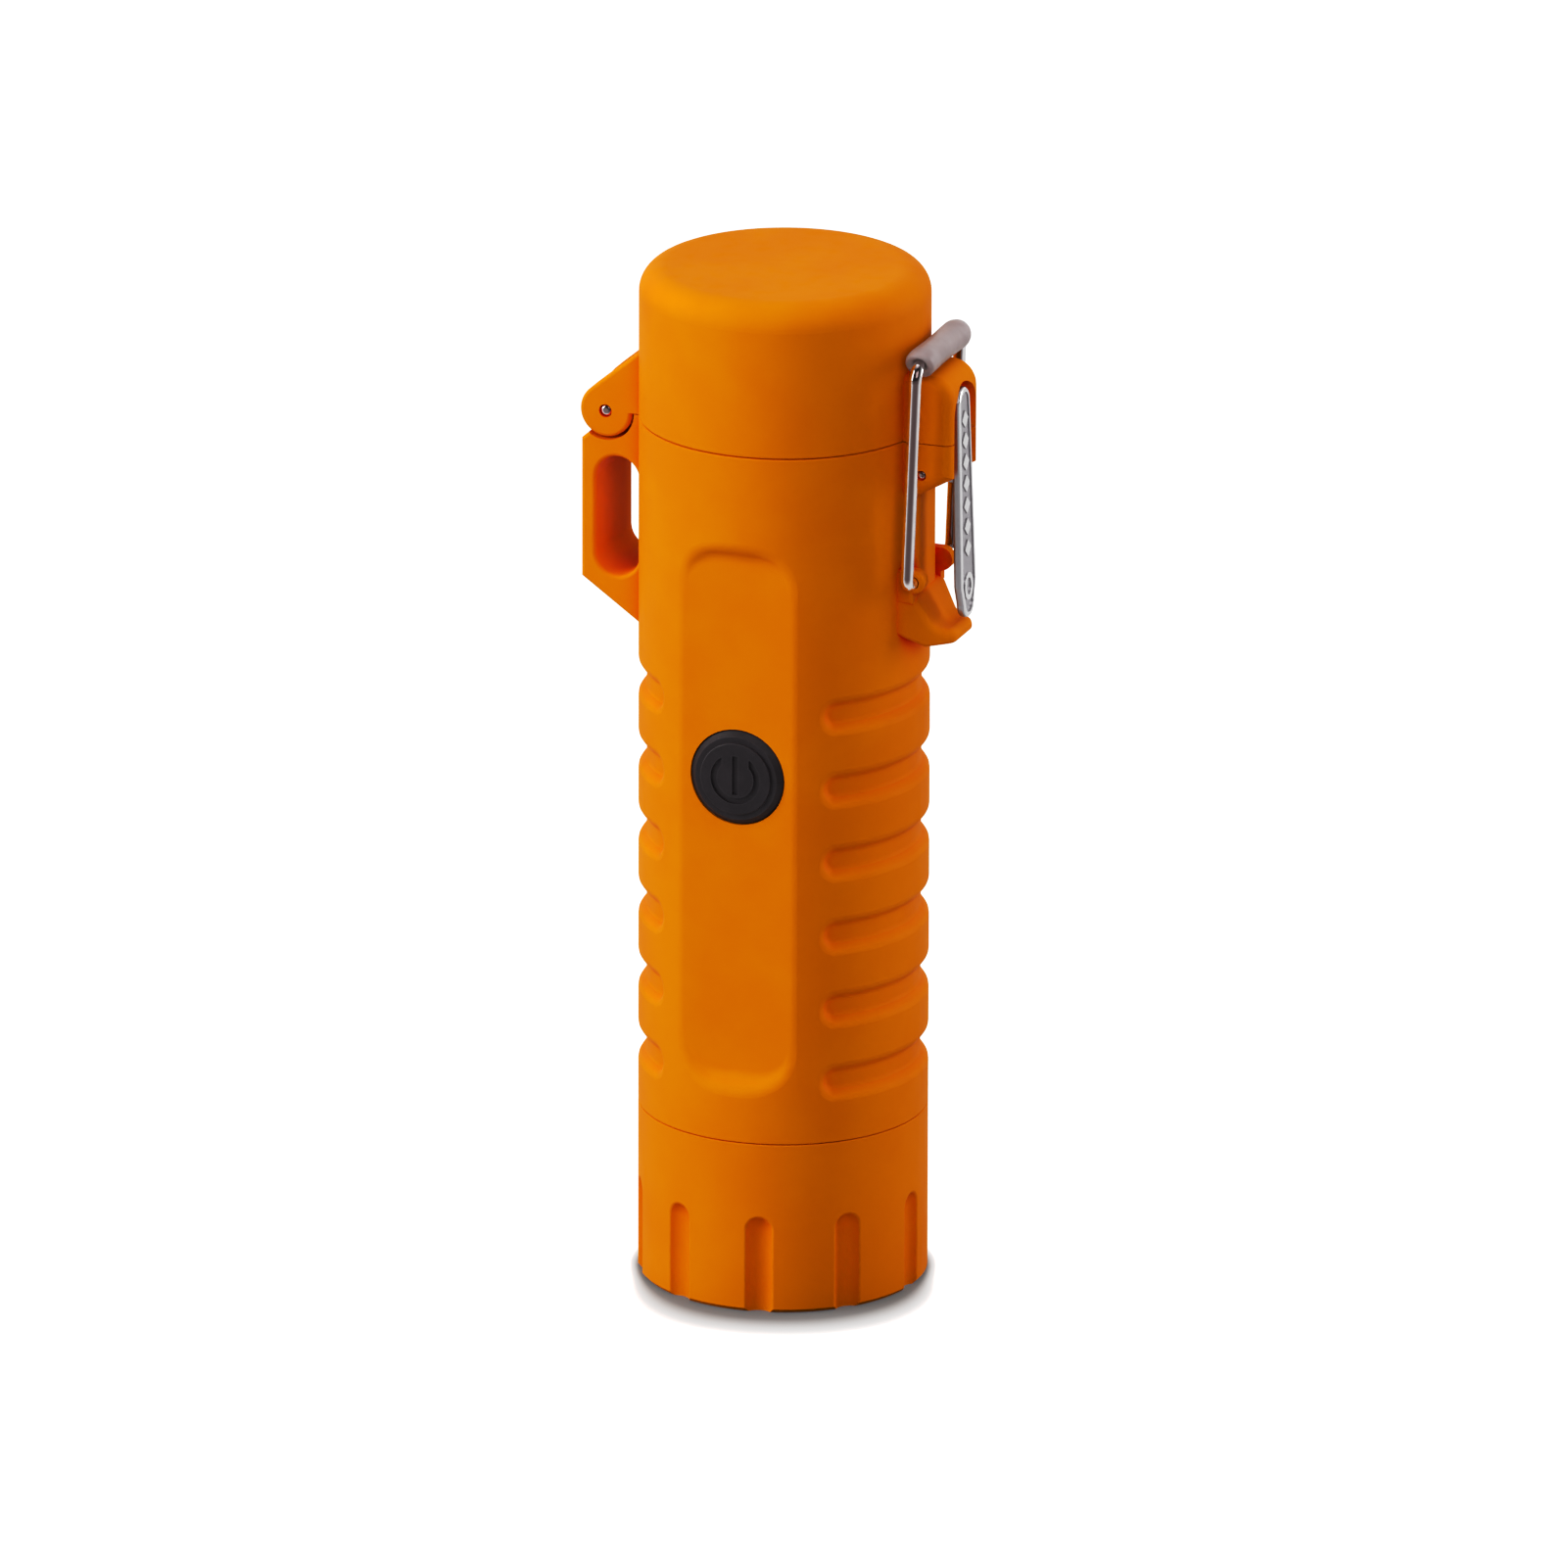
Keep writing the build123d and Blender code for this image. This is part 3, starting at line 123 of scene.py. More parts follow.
class Graph:
    """A node tree, with short ways of adding the nodes that this scene uses."""

    def __init__(self, tree):
        self.tree = tree

    def node(self, kind, **settings):
        made = self.tree.nodes.new(kind)
        for key, value in settings.items():
            setattr(made, key, value)
        return made

    def feed(self, value, socket):
        """Gives a socket another node's output or a fixed value; a fixed colour is opaque."""
        if isinstance(value, bpy.types.NodeSocket):
            self.tree.links.new(value, socket)
        elif socket.type == "RGBA":
            socket.default_value = (*value, 1)
        else:
            socket.default_value = value

    def math(self, operation, first, second):
        node = self.node("ShaderNodeMath", operation=operation)
        self.feed(first, node.inputs[0])
        self.feed(second, node.inputs[1])
        return node.outputs["Value"]

    def dot(self, first, second):
        node = self.node("ShaderNodeVectorMath", operation="DOT_PRODUCT")
        self.feed(first, node.inputs[0])
        self.feed(second, node.inputs[1])
        return node.outputs["Value"]

    def length(self, vector):
        node = self.node("ShaderNodeVectorMath", operation="LENGTH")
        self.feed(vector, node.inputs[0])
        return node.outputs["Value"]

    def remap(self, source, low, high, to_low=0.0, to_high=1.0):
        """A value moved from one range to another, smoothly and clamped."""
        node = self.node("ShaderNodeMapRange", interpolation_type="SMOOTHSTEP")
        values = {"Value": source, "From Min": low, "From Max": high, "To Min": to_low, "To Max": to_high}
        for key, value in values.items():
            self.feed(value, node.inputs[key])
        return node.outputs["Result"]

    def mix(self, factor, first, second):
        """Colour between first and second; each of the three may be a fixed value or a socket."""
        node = self.node("ShaderNodeMix", data_type="RGBA")
        for place, value in zip(MIX_INPUTS, (factor, first, second)):
            self.feed(value, node.inputs[place])
        return node.outputs[MIX_RESULT]


class Look(Graph):
    """One procedural material: a Principled surface and the nodes that vary it."""

    def __init__(self, name, **inputs):
        self.material = bpy.data.materials.new(name)
        self.material.use_nodes = True
        super().__init__(self.material.node_tree)
        self.surface = self.tree.nodes["Principled BSDF"]
        for key, value in inputs.items():
            self.feed(value, self.surface.inputs[key.replace("_", " ")])
        self.place = self.node("ShaderNodeTexCoord").outputs["Object"]

    def changed_place(self, setting, value):
        """Object coordinates after a Mapping node with one setting changed."""
        mapping = self.node("ShaderNodeMapping")
        mapping.inputs[setting].default_value = value
        self.feed(self.place, mapping.inputs["Vector"])
        return mapping.outputs["Vector"]

    def noise(self, size, detail=2, stretch=None):
        """Noise whose features measure about size metres, and more where stretch is below 1."""
        texture = self.node("ShaderNodeTexNoise")
        texture.inputs["Scale"].default_value = 1 / size
        texture.inputs["Detail"].default_value = detail
        place = self.changed_place("Scale", stretch) if stretch else self.place
        self.feed(place, texture.inputs["Vector"])
        return texture.outputs["Fac"]

    def edges(self, radius, amount):
        """The amount along sharp edges and 0 on open surface."""
        bevel = self.node("ShaderNodeBevel", samples=EDGE_SAMPLES)
        bevel.inputs["Radius"].default_value = radius
        true_normal = self.node("ShaderNodeNewGeometry").outputs["Normal"]
        return self.remap(self.dot(bevel.outputs["Normal"], true_normal), *EDGE_BLEND, 0.0, amount)

    def facing(self):
        """About 1 where the surface looks at the viewer and 0 at its outline."""
        weight = self.node("ShaderNodeLayerWeight")
        weight.inputs["Blend"].default_value = 0.5
        return self.math("SUBTRACT", 1.0, weight.outputs["Facing"])

    def recess(self, reach, amount):
        """Mask for painted shade: the amount deep inside the piece's own hollows, and 0 on open surface."""
        node = self.node("ShaderNodeAmbientOcclusion", samples=HOLLOW_SAMPLES, only_local=True)
        node.inputs["Distance"].default_value = reach
        return self.remap(node.outputs["AO"], *HOLLOW_BLEND, 0.0, amount)

    def colour(self, source):
        self.feed(source, self.surface.inputs["Base Color"])

    def roughness(self, source):
        self.feed(source, self.surface.inputs["Roughness"])

    def uneven_roughness(self, size, low, high, detail=2):
        """Roughness that wanders between two values over patches of a size."""
        self.roughness(self.remap(self.noise(size, detail), *SOFT_BLEND, low, high))

    def bump(self, height, depth, strength=1.0):
        """Relief of the given depth in metres."""
        node = self.node("ShaderNodeBump")
        node.inputs["Distance"].default_value = depth
        node.inputs["Strength"].default_value = strength
        self.feed(height, node.inputs["Height"])
        self.feed(node.outputs["Normal"], self.surface.inputs["Normal"])


def soft_touch_orange():
    """Matte orange plastic: fine grain, faint clouding, rubbed edges, and painted redder shade in its
    hollows.
    """
    look = Look("soft_touch_orange", Specular_IOR_Level=0.02, Specular_Tint=(1, 0.35, 0.02))
    orange, deeper = (0.86, 0.265, 0.001), (0.83, 0.245, 0.001)
    # rubbed is edge wear; the second colour is painted shade, a deep red for the piece's hollows
    rubbed, painted_hollow_shade = (0.9, 0.31, 0.004), (0.88, 0.025, 0.0)
    clouds = look.remap(look.noise(9 * MM, 4), *CRISP_BLEND)
    base = look.mix(clouds, orange, deeper)
    base = look.mix(look.edges(0.35 * MM, 0.35), base, rubbed)
    # Painted shade: the hollow mask turns the colour deep red inside the piece's own hollows
    look.colour(look.mix(look.recess(3 * MM, 0.9), base, painted_hollow_shade))
    look.roughness(look.remap(look.noise(1.6 * MM, 6, (1, 1, 0.3)), 0.45, 0.75, 0.50, 0.64))
    coarse_grain = look.math("MULTIPLY", look.noise(0.45 * MM), 0.6)
    look.bump(look.math("ADD", look.noise(0.12 * MM), coarse_grain), 0.008 * MM, 0.6)
    return look.material


def black_rubber():
    """Moulded rubber with a fine grain and greyer worn edges."""
    look = Look("black_rubber", Specular_IOR_Level=0.45)
    dark, lighter, worn = (0.023, 0.017, 0.021), (0.033, 0.025, 0.030), (0.07, 0.06, 0.066)
    patches = look.mix(look.remap(look.noise(2 * MM, 3), *SOFT_BLEND), dark, lighter)
    look.colour(look.mix(look.edges(0.25 * MM, 0.6), patches, worn))
    look.uneven_roughness(0.8 * MM, 0.42, 0.58, 3)
    look.bump(look.noise(0.1 * MM), 0.01 * MM, 0.8)
    return look.material


def seal_rubber():
    """Dark silicone seal, smooth with a trace of dust."""
    look = Look("seal_rubber", Specular_IOR_Level=0.5)
    rubber, dusty = (0.03, 0.03, 0.032), (0.09, 0.085, 0.08)
    look.colour(look.mix(look.remap(look.noise(0.5 * MM, 4), 0.55, 0.75), rubber, dusty))
    look.uneven_roughness(1 * MM, 0.3, 0.45)
    look.bump(look.noise(0.2 * MM), 0.006 * MM)
    return look.material


def silicone():
    """Cloudy grey-white silicone that lets light through."""
    look = Look("soft_sleeve", Subsurface_Weight=0.55, Subsurface_Scale=1.2 * MM, IOR=1.41,
                Subsurface_Radius=(1.0, 0.8, 0.75), Transmission_Weight=0.22, Specular_IOR_Level=0.5)
    darker, paler = (0.46, 0.38, 0.38), (0.54, 0.46, 0.46)
    look.colour(look.mix(look.remap(look.noise(2.2 * MM), *SOFT_BLEND), darker, paler))
    look.uneven_roughness(0.7 * MM, 0.32, 0.46, 3)
    look.bump(look.noise(0.35 * MM), 0.006 * MM, 0.5)
    return look.material


def polished_steel():
    """Bright stainless steel with fine drawing lines, rubbed patches, and a painted dark reflection in the
    middle, where the surface faces the viewer.
    """
    look = Look("polished_steel", Metallic=1.0)
    # mirrored is a painted dark reflection, used where the surface faces the viewer
    duller, brighter, mirrored = (0.80, 0.775, 0.78), (0.92, 0.9, 0.9), (0.19, 0.14, 0.14)
    lines = look.noise(0.08 * MM, stretch=(1, 1, 0.03))
    patches = look.noise(1.5 * MM, 4)
    bright = look.mix(look.remap(patches, *SOFT_BLEND), duller, brighter)
    # Painted reflection: the colour turns dark where the surface faces the viewer
    look.colour(look.mix(look.remap(look.facing(), 0.72, 0.93), bright, mirrored))
    patchy = look.remap(patches, *SOFT_BLEND, 0.10, 0.17)
    look.roughness(look.math("ADD", patchy, look.remap(lines, 0.4, 0.7, 0.0, 0.05)))
    look.bump(lines, 0.004 * MM, 0.5)
    return look.material


def plate_steel():
    """Pressed steel plate: polished marks over a dull, darker ground, with a painted highlight where the
    surface turns away from the viewer.
    """
    look = Look("plate_steel", Metallic=1.0)
    painted_side_highlight, front_facing_tone, ground_tone = (0.95, 0.94, 0.94), (0.72, 0.71, 0.72), (0.40, 0.385, 0.40)
    grain = look.noise(0.1 * MM)
    height = look.math("SUBTRACT", look.dot(look.place, PLATE_FACING), PLATE_POINT.dot(PLATE_FACING))
    ground = look.remap(height, -0.4 * PLATE_RELIEF, -0.9 * PLATE_RELIEF)
    # Painted highlight: the plate turns near white where its surface turns away from the viewer
    face_with_painted_highlight = look.mix(look.remap(look.facing(), 0.2, 0.9), painted_side_highlight, front_facing_tone)
    look.colour(look.mix(ground, face_with_painted_highlight, ground_tone))
    fine = look.remap(grain, *SOFT_BLEND, 0.12, 0.2)
    look.roughness(look.math("ADD", fine, look.math("MULTIPLY", ground, 0.22)))
    look.bump(grain, 0.008 * MM, 0.5)
    return look.material


def brushed_metal(name, low, high, stretch, rough=(0.28, 0.42)):
    """Metal with lines along one direction: stretch is smallest along the lines."""
    look = Look(name, Metallic=1.0)
    lines = look.noise(0.12 * MM, 3, stretch)
    look.colour(look.mix(look.remap(lines, *CRISP_BLEND), low, high))
    look.roughness(look.remap(lines, *SOFT_BLEND, *rough))
    look.bump(lines, 0.006 * MM, 0.6)
    return look.material


def moulded_plastic(name, low, high, rough=(0.45, 0.6)):
    """Moulded plastic with a spark-eroded grain and lighter edges."""
    look = Look(name, Specular_IOR_Level=0.45)
    clouds = look.mix(look.remap(look.noise(4 * MM, 3), *CRISP_BLEND), low, high)
    gain, lift = 1.8, 0.02
    worn = [min(1.0, channel * gain + lift) for channel in high]
    look.colour(look.mix(look.edges(0.2 * MM, 0.35), clouds, worn))
    look.uneven_roughness(1 * MM, *rough, 3)
    look.bump(look.noise(0.2 * MM), 0.02 * MM, 0.5)
    return look.material


def glazed_ceramic():
    """Off-white alumina, faintly speckled, scorched near the arcs."""
    look = Look("ceramic", Subsurface_Weight=0.12, Subsurface_Scale=0.6 * MM, Specular_IOR_Level=0.5)
    white, speck, scorched = (0.82, 0.79, 0.72), (0.62, 0.57, 0.5), (0.20, 0.15, 0.11)
    clean = look.mix(look.remap(look.noise(0.25 * MM, 3), 0.6, 0.72), white, speck)
    from_axis = look.length(look.changed_place("Scale", (1, 1, 0)))
    ragged = look.math("ADD", from_axis, look.math("MULTIPLY", look.noise(1.2 * MM, 3), 1.5 * MM))
    look.colour(look.mix(look.remap(ragged, 5.2 * MM, 2.2 * MM, 0.0, 0.55), clean, scorched))
    look.uneven_roughness(0.6 * MM, 0.5, 0.68)
    look.bump(look.noise(0.15 * MM, 3), 0.02 * MM, 0.6)
    return look.material


def solder_mask(name, field, trace, size):
    """Circuit board lacquer over copper tracks laid out on a square grid."""
    look = Look(name, Specular_IOR_Level=0.5, Coat_Weight=0.5, Coat_Roughness=0.15)
    bricks = look.node("ShaderNodeTexBrick", offset=0.35)
    bricks.inputs["Scale"].default_value = 1 / size
    bricks.inputs["Mortar Size"].default_value = 0.03
    upright = look.changed_place("Rotation", (math.radians(90), 0, 0))
    look.feed(upright, bricks.inputs["Vector"])
    tracks = bricks.outputs["Fac"]
    shaded_field = [channel * 0.8 for channel in field]
    cloudy = look.mix(look.remap(look.noise(1.5 * MM), *CRISP_BLEND), field, shaded_field)
    look.colour(look.mix(tracks, cloudy, trace))
    look.uneven_roughness(0.5 * MM, 0.25, 0.4)
    look.bump(tracks, 0.03 * MM, 0.5)
    return look.material


def shrink_wrap():
    """Blue film shrunk over the cell, with soft wrinkles along it."""
    look = Look("cell_wrap", Specular_IOR_Level=0.5, Coat_Weight=0.4, Coat_Roughness=0.1)
    deep_blue, blue = (0.02, 0.09, 0.30), (0.03, 0.13, 0.40)
    wrinkles = look.noise(1.4 * MM, 3, (1, 1, 0.25))
    look.colour(look.mix(look.remap(wrinkles, *SOFT_BLEND), deep_blue, blue))
    look.roughness(look.remap(wrinkles, *SOFT_BLEND, 0.2, 0.34))
    look.bump(wrinkles, 0.05 * MM, 0.5)
    return look.material


def taped_winding():
    """Yellow polyester tape over the windings, with the turns showing through."""
    look = Look("coil_wrap", Specular_IOR_Level=0.5)
    gap, turn = (0.42, 0.28, 0.03), (0.62, 0.44, 0.06)
    wave = look.node("ShaderNodeTexWave", wave_type="BANDS", bands_direction="Z")
    wave.inputs["Scale"].default_value = 1 / (2.4 * MM)
    wave.inputs["Distortion"].default_value = 0.6
    look.feed(look.place, wave.inputs["Vector"])
    turns = wave.outputs["Fac"]
    look.colour(look.mix(turns, gap, turn))
    look.uneven_roughness(1 * MM, 0.25, 0.4)
    look.bump(turns, 0.06 * MM, 0.6)
    return look.material


def wire_insulation():
    """Red silicone insulation, slightly dusty."""
    look = Look("wire_red", Specular_IOR_Level=0.5)
    red, dusty = (0.42, 0.012, 0.01), (0.55, 0.12, 0.1)
    look.colour(look.mix(look.remap(look.noise(0.4 * MM, 4), 0.5, 0.75, 0.0, 0.5), red, dusty))
    look.uneven_roughness(0.6 * MM, 0.35, 0.5)
    look.bump(look.noise(0.2 * MM), 0.01 * MM, 0.6)
    return look.material


def mirror_coating():
    """Vacuum-metallised reflector with faint orange peel."""
    look = Look("reflector_silver", Metallic=1.0)
    silver, bright = (0.86, 0.86, 0.87), (0.93, 0.93, 0.94)
    peel = look.noise(0.7 * MM)
    look.colour(look.mix(look.remap(peel, *SOFT_BLEND), silver, bright))
    look.roughness(look.remap(peel, *SOFT_BLEND, 0.03, 0.09))
    look.bump(peel, 0.02 * MM, 0.6)
    return look.material


def phosphor():
    """Yellow phosphor under a clear dome."""
    look = Look("led_phosphor", Coat_Weight=1.0, Coat_Roughness=0.03, Subsurface_Weight=0.3,
                Subsurface_Scale=0.5 * MM)
    ochre, yellow = (0.78, 0.62, 0.05), (0.88, 0.75, 0.16)
    grain = look.remap(look.noise(0.15 * MM, 3), *SOFT_BLEND)
    look.colour(look.mix(grain, ochre, yellow))
    look.uneven_roughness(0.3 * MM, 0.3, 0.45)
    look.bump(grain, 0.01 * MM, 0.4)
    return look.material


def clear_lens():
    """Clear polycarbonate with the faintest haze and hairlines."""
    look = Look("clear_lens", Transmission_Weight=1.0, IOR=1.49)
    clear, hazy = (0.96, 0.98, 0.99), (0.90, 0.94, 0.96)
    haze = look.noise(3 * MM, 4)
    look.colour(look.mix(look.remap(haze, *SOFT_BLEND), clear, hazy))
    look.roughness(look.remap(haze, 0.35, 0.7, 0.02, 0.06))
    look.bump(look.noise(0.3 * MM, 3, (1, 0.05, 1)), 0.003 * MM, 0.3)
    return look.material


def dress(frame):
    """Gives every CAD node its material."""
    looks = {
        soft_touch_orange(): ("body_shell", "cap_shell", "torch_head"),
        black_rubber(): ("button_cap",),
        seal_rubber(): ("neck_o_ring", "head_o_ring", "lens_gasket"),
        polished_steel(): ("bail_wire", "hinge_pin", "latch_pin"),
        plate_steel(): ("latch_plate",),
        brushed_metal("spring_steel", (0.45, 0.45, 0.46), (0.62, 0.62, 0.63), (1, 1, 0.2)): ("latch_spring",),
        brushed_metal("screw_steel", (0.45, 0.45, 0.44), (0.66, 0.66, 0.64), (1, 1, 1)): (
            "board_screws", "frame_screws"),
        moulded_plastic("black_plastic", (0.022, 0.022, 0.024), (0.035, 0.035, 0.037)): (
            "inner_frame", "neck_collar", "tact_switch", "switch_stem"),
        moulded_plastic("liner_plastic", (0.045, 0.045, 0.048), (0.065, 0.065, 0.068), (0.5, 0.7)): (
            "cap_liner",),
        glazed_ceramic(): ("arc_head",),
        brushed_metal("tungsten", (0.20, 0.20, 0.21), (0.36, 0.35, 0.35), (1, 1, 0.1), (0.3, 0.5)): (
            "electrodes",),
        solder_mask("board_green", (0.012, 0.10, 0.03), (0.03, 0.20, 0.06), 3 * MM): ("circuit_board",),
        solder_mask("led_white_board", (0.78, 0.78, 0.75), (0.62, 0.61, 0.56), 4 * MM): ("led_board",),
        shrink_wrap(): ("battery_cell",),
        brushed_metal("nickel", (0.55, 0.52, 0.46), (0.72, 0.69, 0.63), (1, 0.05, 0.2)): (
            "battery_tabs", "charge_port"),
        taped_winding(): ("arc_transformer",),
        wire_insulation(): ("electrode_leads", "led_leads"),
        moulded_plastic("port_plastic", (0.02, 0.02, 0.02), (0.03, 0.03, 0.03)): ("port_tongue",),
        brushed_metal("aluminium_plug", (0.62, 0.63, 0.64), (0.80, 0.81, 0.82), (1, 1, 0.05)): (
            "heat_spreader",),
        mirror_coating(): ("reflector",),
        phosphor(): ("led",),
        clear_lens(): ("lens",),
    }
    for material, names in looks.items():
        for name in names:
            mesh = frame["nodes"][name].data
            mesh.materials.clear()
            mesh.materials.append(material)


def bail_path(distance, along, up):
    """Point and direction on the bail's crossbar, which bends down at both ends."""
    straight = BAIL_HALF_SPAN - BAIL_BEND_R
    side = math.copysign(1, distance)
    turn = max(0.0, abs(distance) - straight) / BAIL_BEND_R
    reach = min(abs(distance), straight) + BAIL_BEND_R * math.sin(turn)
    drop = BAIL_BEND_R * (1 - math.cos(turn))
    point = BAIL_CROSSBAR + along * side * reach - up * drop
    return point, along * math.cos(turn) - up * side * math.sin(turn)


def sleeve_profile():
    """Distance along the path and radius, from one lip over the waist to the other lip."""
    half = BAIL_HALF_SPAN - BAIL_BEND_R + BAIL_BEND_R * SLEEVE_WRAP
    body = half - SLEEVE_LIP_R
    outside = []
    for step in range(SLEEVE_STATIONS + 1):
        share = 2 * step / SLEEVE_STATIONS - 1
        waist = 1 - SLEEVE_WAIST * math.cos(share * math.pi / 2) ** 2
        outside.append((share * body, SLEEVE_R * waist))
    lip = []
    for step in range(1, SLEEVE_LIP_STEPS + 1):
        turn = math.pi / 2 * step / SLEEVE_LIP_STEPS
        lip.append((body + SLEEVE_LIP_R * math.sin(turn), SLEEVE_R - SLEEVE_LIP_R * (1 - math.cos(turn))))
    lip.append((half - SLEEVE_LIP_R / 2, SLEEVE_BORE_R + SLEEVE_LIP_R / 2))
    lip.append((half - SLEEVE_LIP_R, SLEEVE_BORE_R))
    far_lip = [(-distance, radius) for distance, radius in reversed(lip)]
    return far_lip + outside + lip


def circle_points(centre, radius, across, over):
    """Points of a circle in the plane of two unit vectors."""
    turns = [2 * math.pi * corner / SLEEVE_SIDES for corner in range(SLEEVE_SIDES)]
    return [centre + radius * (across * math.cos(turn) + over * math.sin(turn)) for turn in turns]


def ring_skin(name, rings):
    """Smooth mesh through rings of points, the last ring joined to the first."""
    shape = bmesh.new()
    loops = [[shape.verts.new(point) for point in ring] for ring in rings]
    for first, second in zip(loops, loops[1:] + loops[:1]):
        for corner in range(len(first)):
            after = (corner + 1) % len(first)
            shape.faces.new((first[corner], first[after], second[after], second[corner]))
    bmesh.ops.recalc_face_normals(shape, faces=shape.faces)
    mesh = bpy.data.meshes.new(name)
    shape.to_mesh(mesh)
    shape.free()
    mesh.polygons.foreach_set("use_smooth", [True] * len(mesh.polygons))
    return mesh


def bail_sleeve(frame):
    """Soft silicone tube over the bail's crossbar, slightly waisted, with rolled lips."""
    swing = next(joint for joint in frame["joints"] if joint["name"] == "bail_swing")
    along = Vector(swing["axis"])
    up = (BAIL_CROSSBAR - Vector(swing["pos_m"])).normalized()
    across = along.cross(up)
    rings = []
    for distance, radius in sleeve_profile():
        point, direction = bail_path(distance, along, up)
        rings.append(circle_points(point, radius, across, direction.cross(across)))
    mesh = ring_skin("soft_sleeve_tube", rings)
    mesh.materials.append(silicone())
    tube = add_object("soft_sleeve_tube", mesh)
    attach(tube, "bail")
    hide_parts("bail_sleeve")


def aim(thing, target):
    """Turns a light or camera so that it looks at the target."""
    direction = Vector(target) - thing.location
    thing.rotation_euler = direction.to_track_quat("-Z", "Y").to_euler()


def soft_light(name, azimuth, elevation, distance, size, power):
    """Rectangular soft light that looks at the object's middle, as LIGHTS describes it."""
    data = bpy.data.lights.new(name, "AREA")
    data.shape = "RECTANGLE"
    data.size, data.size_y = size
    data.energy = power
    light = add_object(name, data)
    middle = Vector((0, 0, VIEW_HEIGHT))
    way = heading(VIEW_AZIMUTH + math.radians(azimuth), math.radians(elevation))
    light.location = middle + way * distance
    aim(light, middle)


def surroundings():
    """Surroundings seen as white, but dim as a light and dimmest on the camera's side."""
    world = bpy.data.worlds.new("studio")
    bpy.context.scene.world = world
    world.use_nodes = True
    graph = Graph(world.node_tree)
    direction = graph.node("ShaderNodeTexCoord").outputs["Generated"]
    cosine = graph.dot(direction, -heading(VIEW_AZIMUTH, VIEW_ELEVATION))
    level = graph.remap(cosine, WORLD_FRONT_COSINE, WORLD_BACK_COSINE, WORLD_FRONT, WORLD_BACK)
    path = graph.node("ShaderNodeLightPath")
    gain = graph.math("ADD", 1.0, graph.math("MULTIPLY", path.outputs["Is Glossy Ray"], MIRRORED_GAIN))
    shine = graph.math("MULTIPLY", level, gain)
    background = graph.tree.nodes["Background"]
    graph.feed((1, 1, 1), background.inputs["Color"])
    graph.feed(graph.math("MAXIMUM", shine, path.outputs["Is Camera Ray"]), background.inputs["Strength"])


def painted_contact_shadow(look):
    """Mask of the painted contact shadow: 0 under the base, rising to 1 where the floor is open; it reaches
    farthest towards the camera.
    """
    radius = look.length(look.place)
    toward = look.dot(look.place, heading(VIEW_AZIMUTH, 0))
    front = look.math("MAXIMUM", look.math("DIVIDE", toward, radius), 0.0)
    front = look.math("POWER", front, SHADOW_TURN)
    reach = look.remap(front, 0.0, 1.0, SHADOW_SIDE_REACH, SHADOW_FRONT_REACH)
    away = look.math("DIVIDE", look.math("SUBTRACT", radius, SHADOW_START_R), reach)
    away = look.math("MINIMUM", look.math("MAXIMUM", away, 0.0), 1.0)
    return look.math("POWER", away, SHADOW_FADE)


def floor_look():
    """Pale floor with a painted soft contact shadow: it glows white to the eye, and less in mirrors."""
    look = Look("floor", Roughness=0.7, Specular_IOR_Level=0.1, Emission_Color=(1, 1, 1))
    pale, paler, painted_shadow_tone, black = (0.50, 0.50, 0.50), (0.53, 0.53, 0.53), (0.10, 0.10, 0.10), (0, 0, 0)
    path = look.node("ShaderNodeLightPath")
    to_eye = path.outputs["Is Camera Ray"]
    open_air = painted_contact_shadow(look)
    ground = look.mix(look.noise(FLOOR_PATCH), pale, paler)
    ground = look.mix(look.math("MAXIMUM", to_eye, FLOOR_BOUNCE_SHARE), black, ground)
    look.colour(look.mix(open_air, painted_shadow_tone, ground))
    # The painted shadow also dims the floor's glow
    glow = look.math("MULTIPLY", look.math("MAXIMUM", open_air, SHADOW_CORE), FLOOR_GLOW)
    mirrored = look.math("MULTIPLY", path.outputs["Is Glossy Ray"], FLOOR_MIRRORED_SHARE)
    shown = look.math("MAXIMUM", to_eye, mirrored)
    look.feed(look.math("MULTIPLY", glow, shown), look.surface.inputs["Emission Strength"])
    return look.material


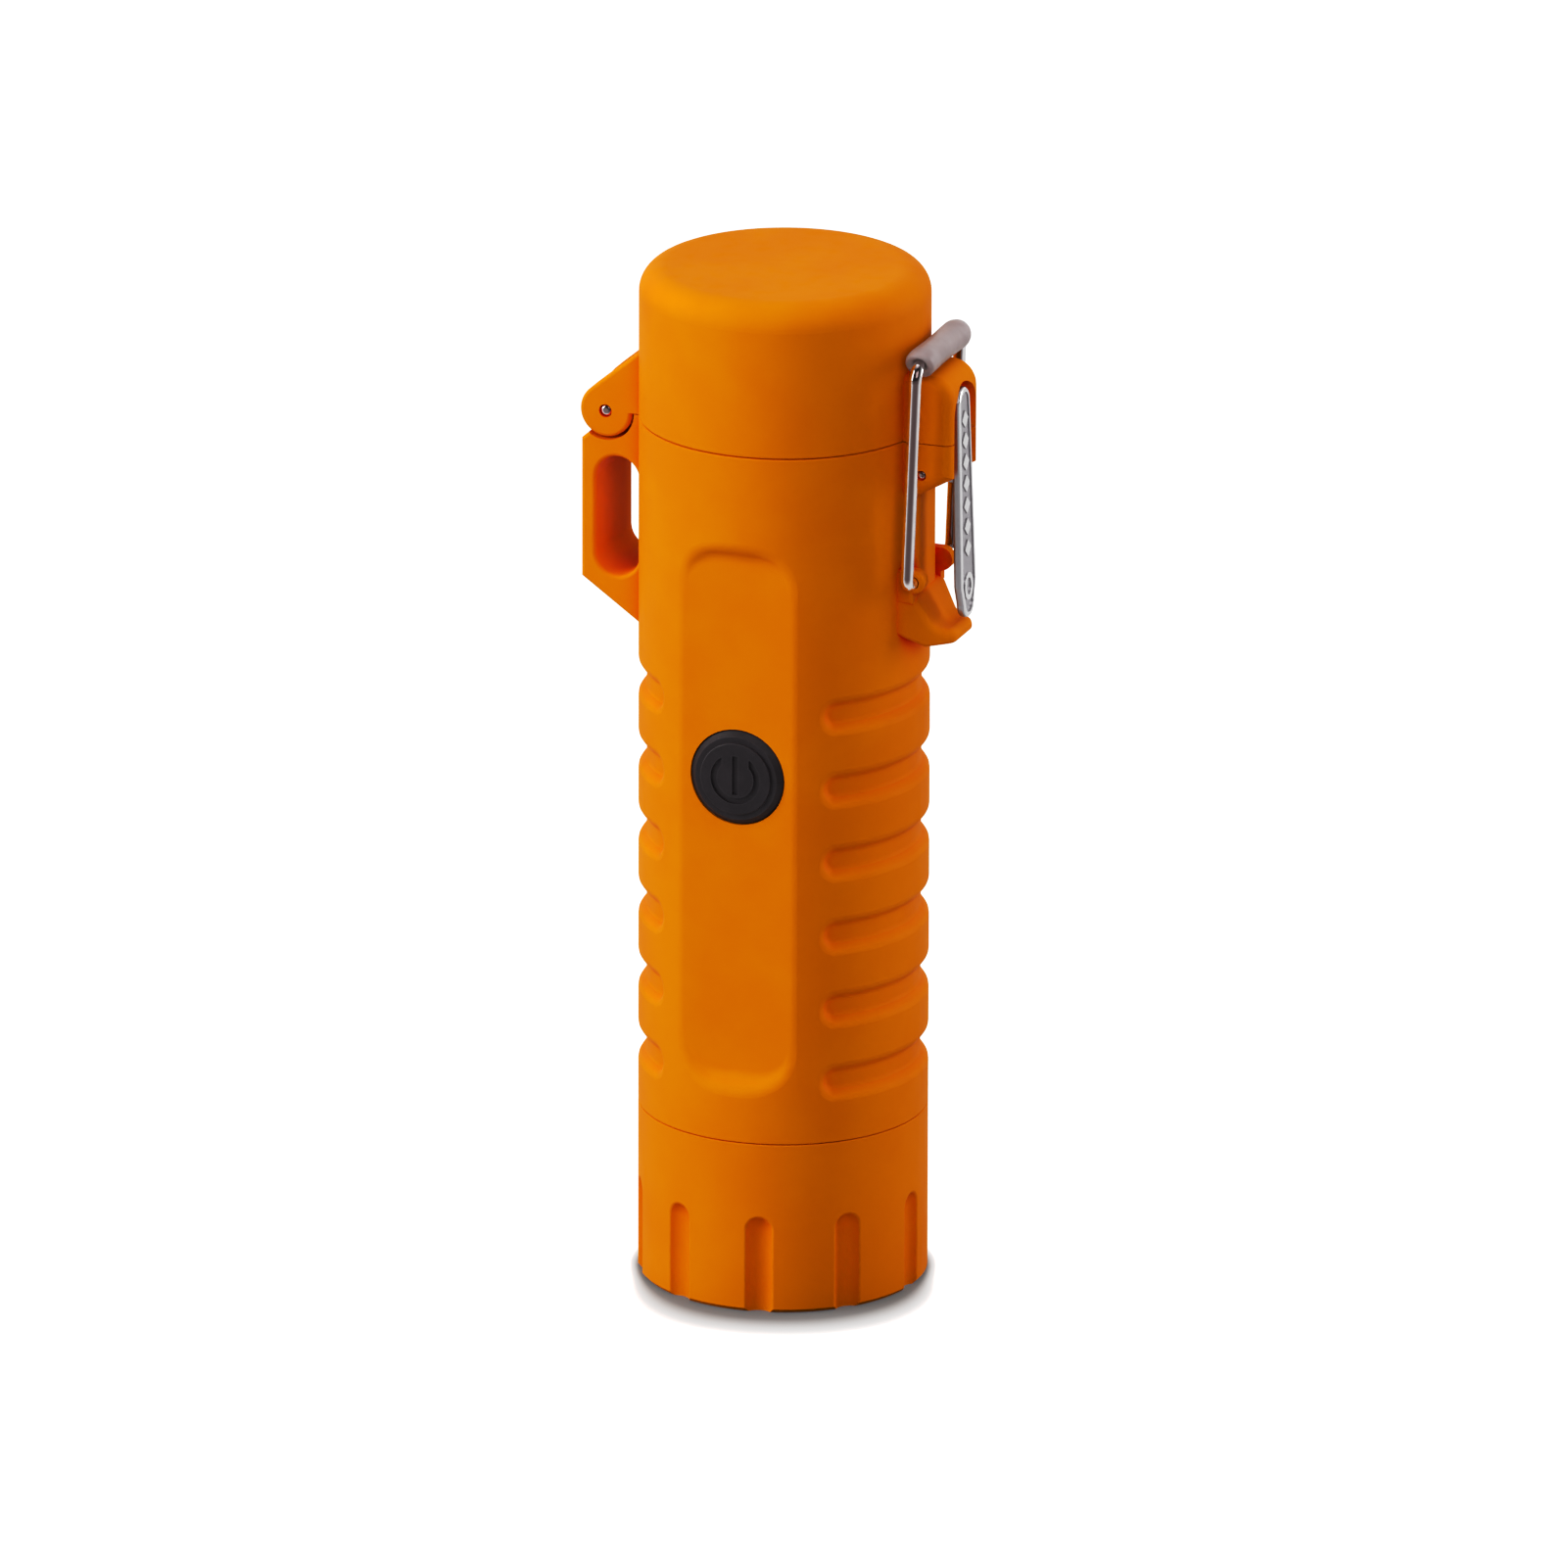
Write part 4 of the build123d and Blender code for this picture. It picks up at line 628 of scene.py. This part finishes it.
def floor():
    """Wide square under the object."""
    mesh = bpy.data.meshes.new("floor")
    half = FLOOR_SIZE / 2
    corners = [(-half, -half, 0), (half, -half, 0), (half, half, 0), (-half, half, 0)]
    mesh.from_pydata(corners, [], [(0, 1, 2, 3)])
    mesh.materials.append(floor_look())
    add_object("floor", mesh)


def camera():
    """Long lens that looks at the object's middle."""
    data = bpy.data.cameras.new("camera")
    data.sensor_width = SENSOR
    data.lens = SENSOR * VIEW_DISTANCE / VIEW_WIDTH
    eye = add_object("camera", data)
    middle = Vector((0, 0, VIEW_HEIGHT))
    eye.location = middle + heading(VIEW_AZIMUTH, VIEW_ELEVATION) * VIEW_DISTANCE
    aim(eye, middle)
    bpy.context.view_layer.update()
    eye.matrix_world = eye.matrix_world @ Matrix.Rotation(VIEW_ROLL, 4, "Z")
    bpy.context.scene.camera = eye


def response():
    """Plain display colours with a gentle S-shaped contrast."""
    settings = bpy.context.scene.view_settings
    settings.view_transform = "Standard"
    settings.use_curve_mapping = True
    points = settings.curve_mapping.curves[COMBINED_CURVE].points
    points[0].location = RESPONSE[0]
    points[1].location = RESPONSE[-1]
    for point in RESPONSE[1:-1]:
        points.new(*point)
    settings.curve_mapping.update()


def studio():
    """Surroundings, floor, lights, camera and colour response."""
    surroundings()
    floor()
    for name, values in LIGHTS.items():
        soft_light(name, *values)
    camera()
    response()


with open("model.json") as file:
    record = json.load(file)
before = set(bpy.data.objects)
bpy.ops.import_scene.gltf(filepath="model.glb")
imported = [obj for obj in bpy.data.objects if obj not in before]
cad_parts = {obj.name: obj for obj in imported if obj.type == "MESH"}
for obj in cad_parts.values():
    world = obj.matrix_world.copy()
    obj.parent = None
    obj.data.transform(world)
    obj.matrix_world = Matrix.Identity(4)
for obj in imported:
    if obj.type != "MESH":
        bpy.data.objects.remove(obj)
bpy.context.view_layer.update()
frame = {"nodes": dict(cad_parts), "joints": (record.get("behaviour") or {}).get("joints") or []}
dress(frame)
bail_sleeve(frame)
studio()
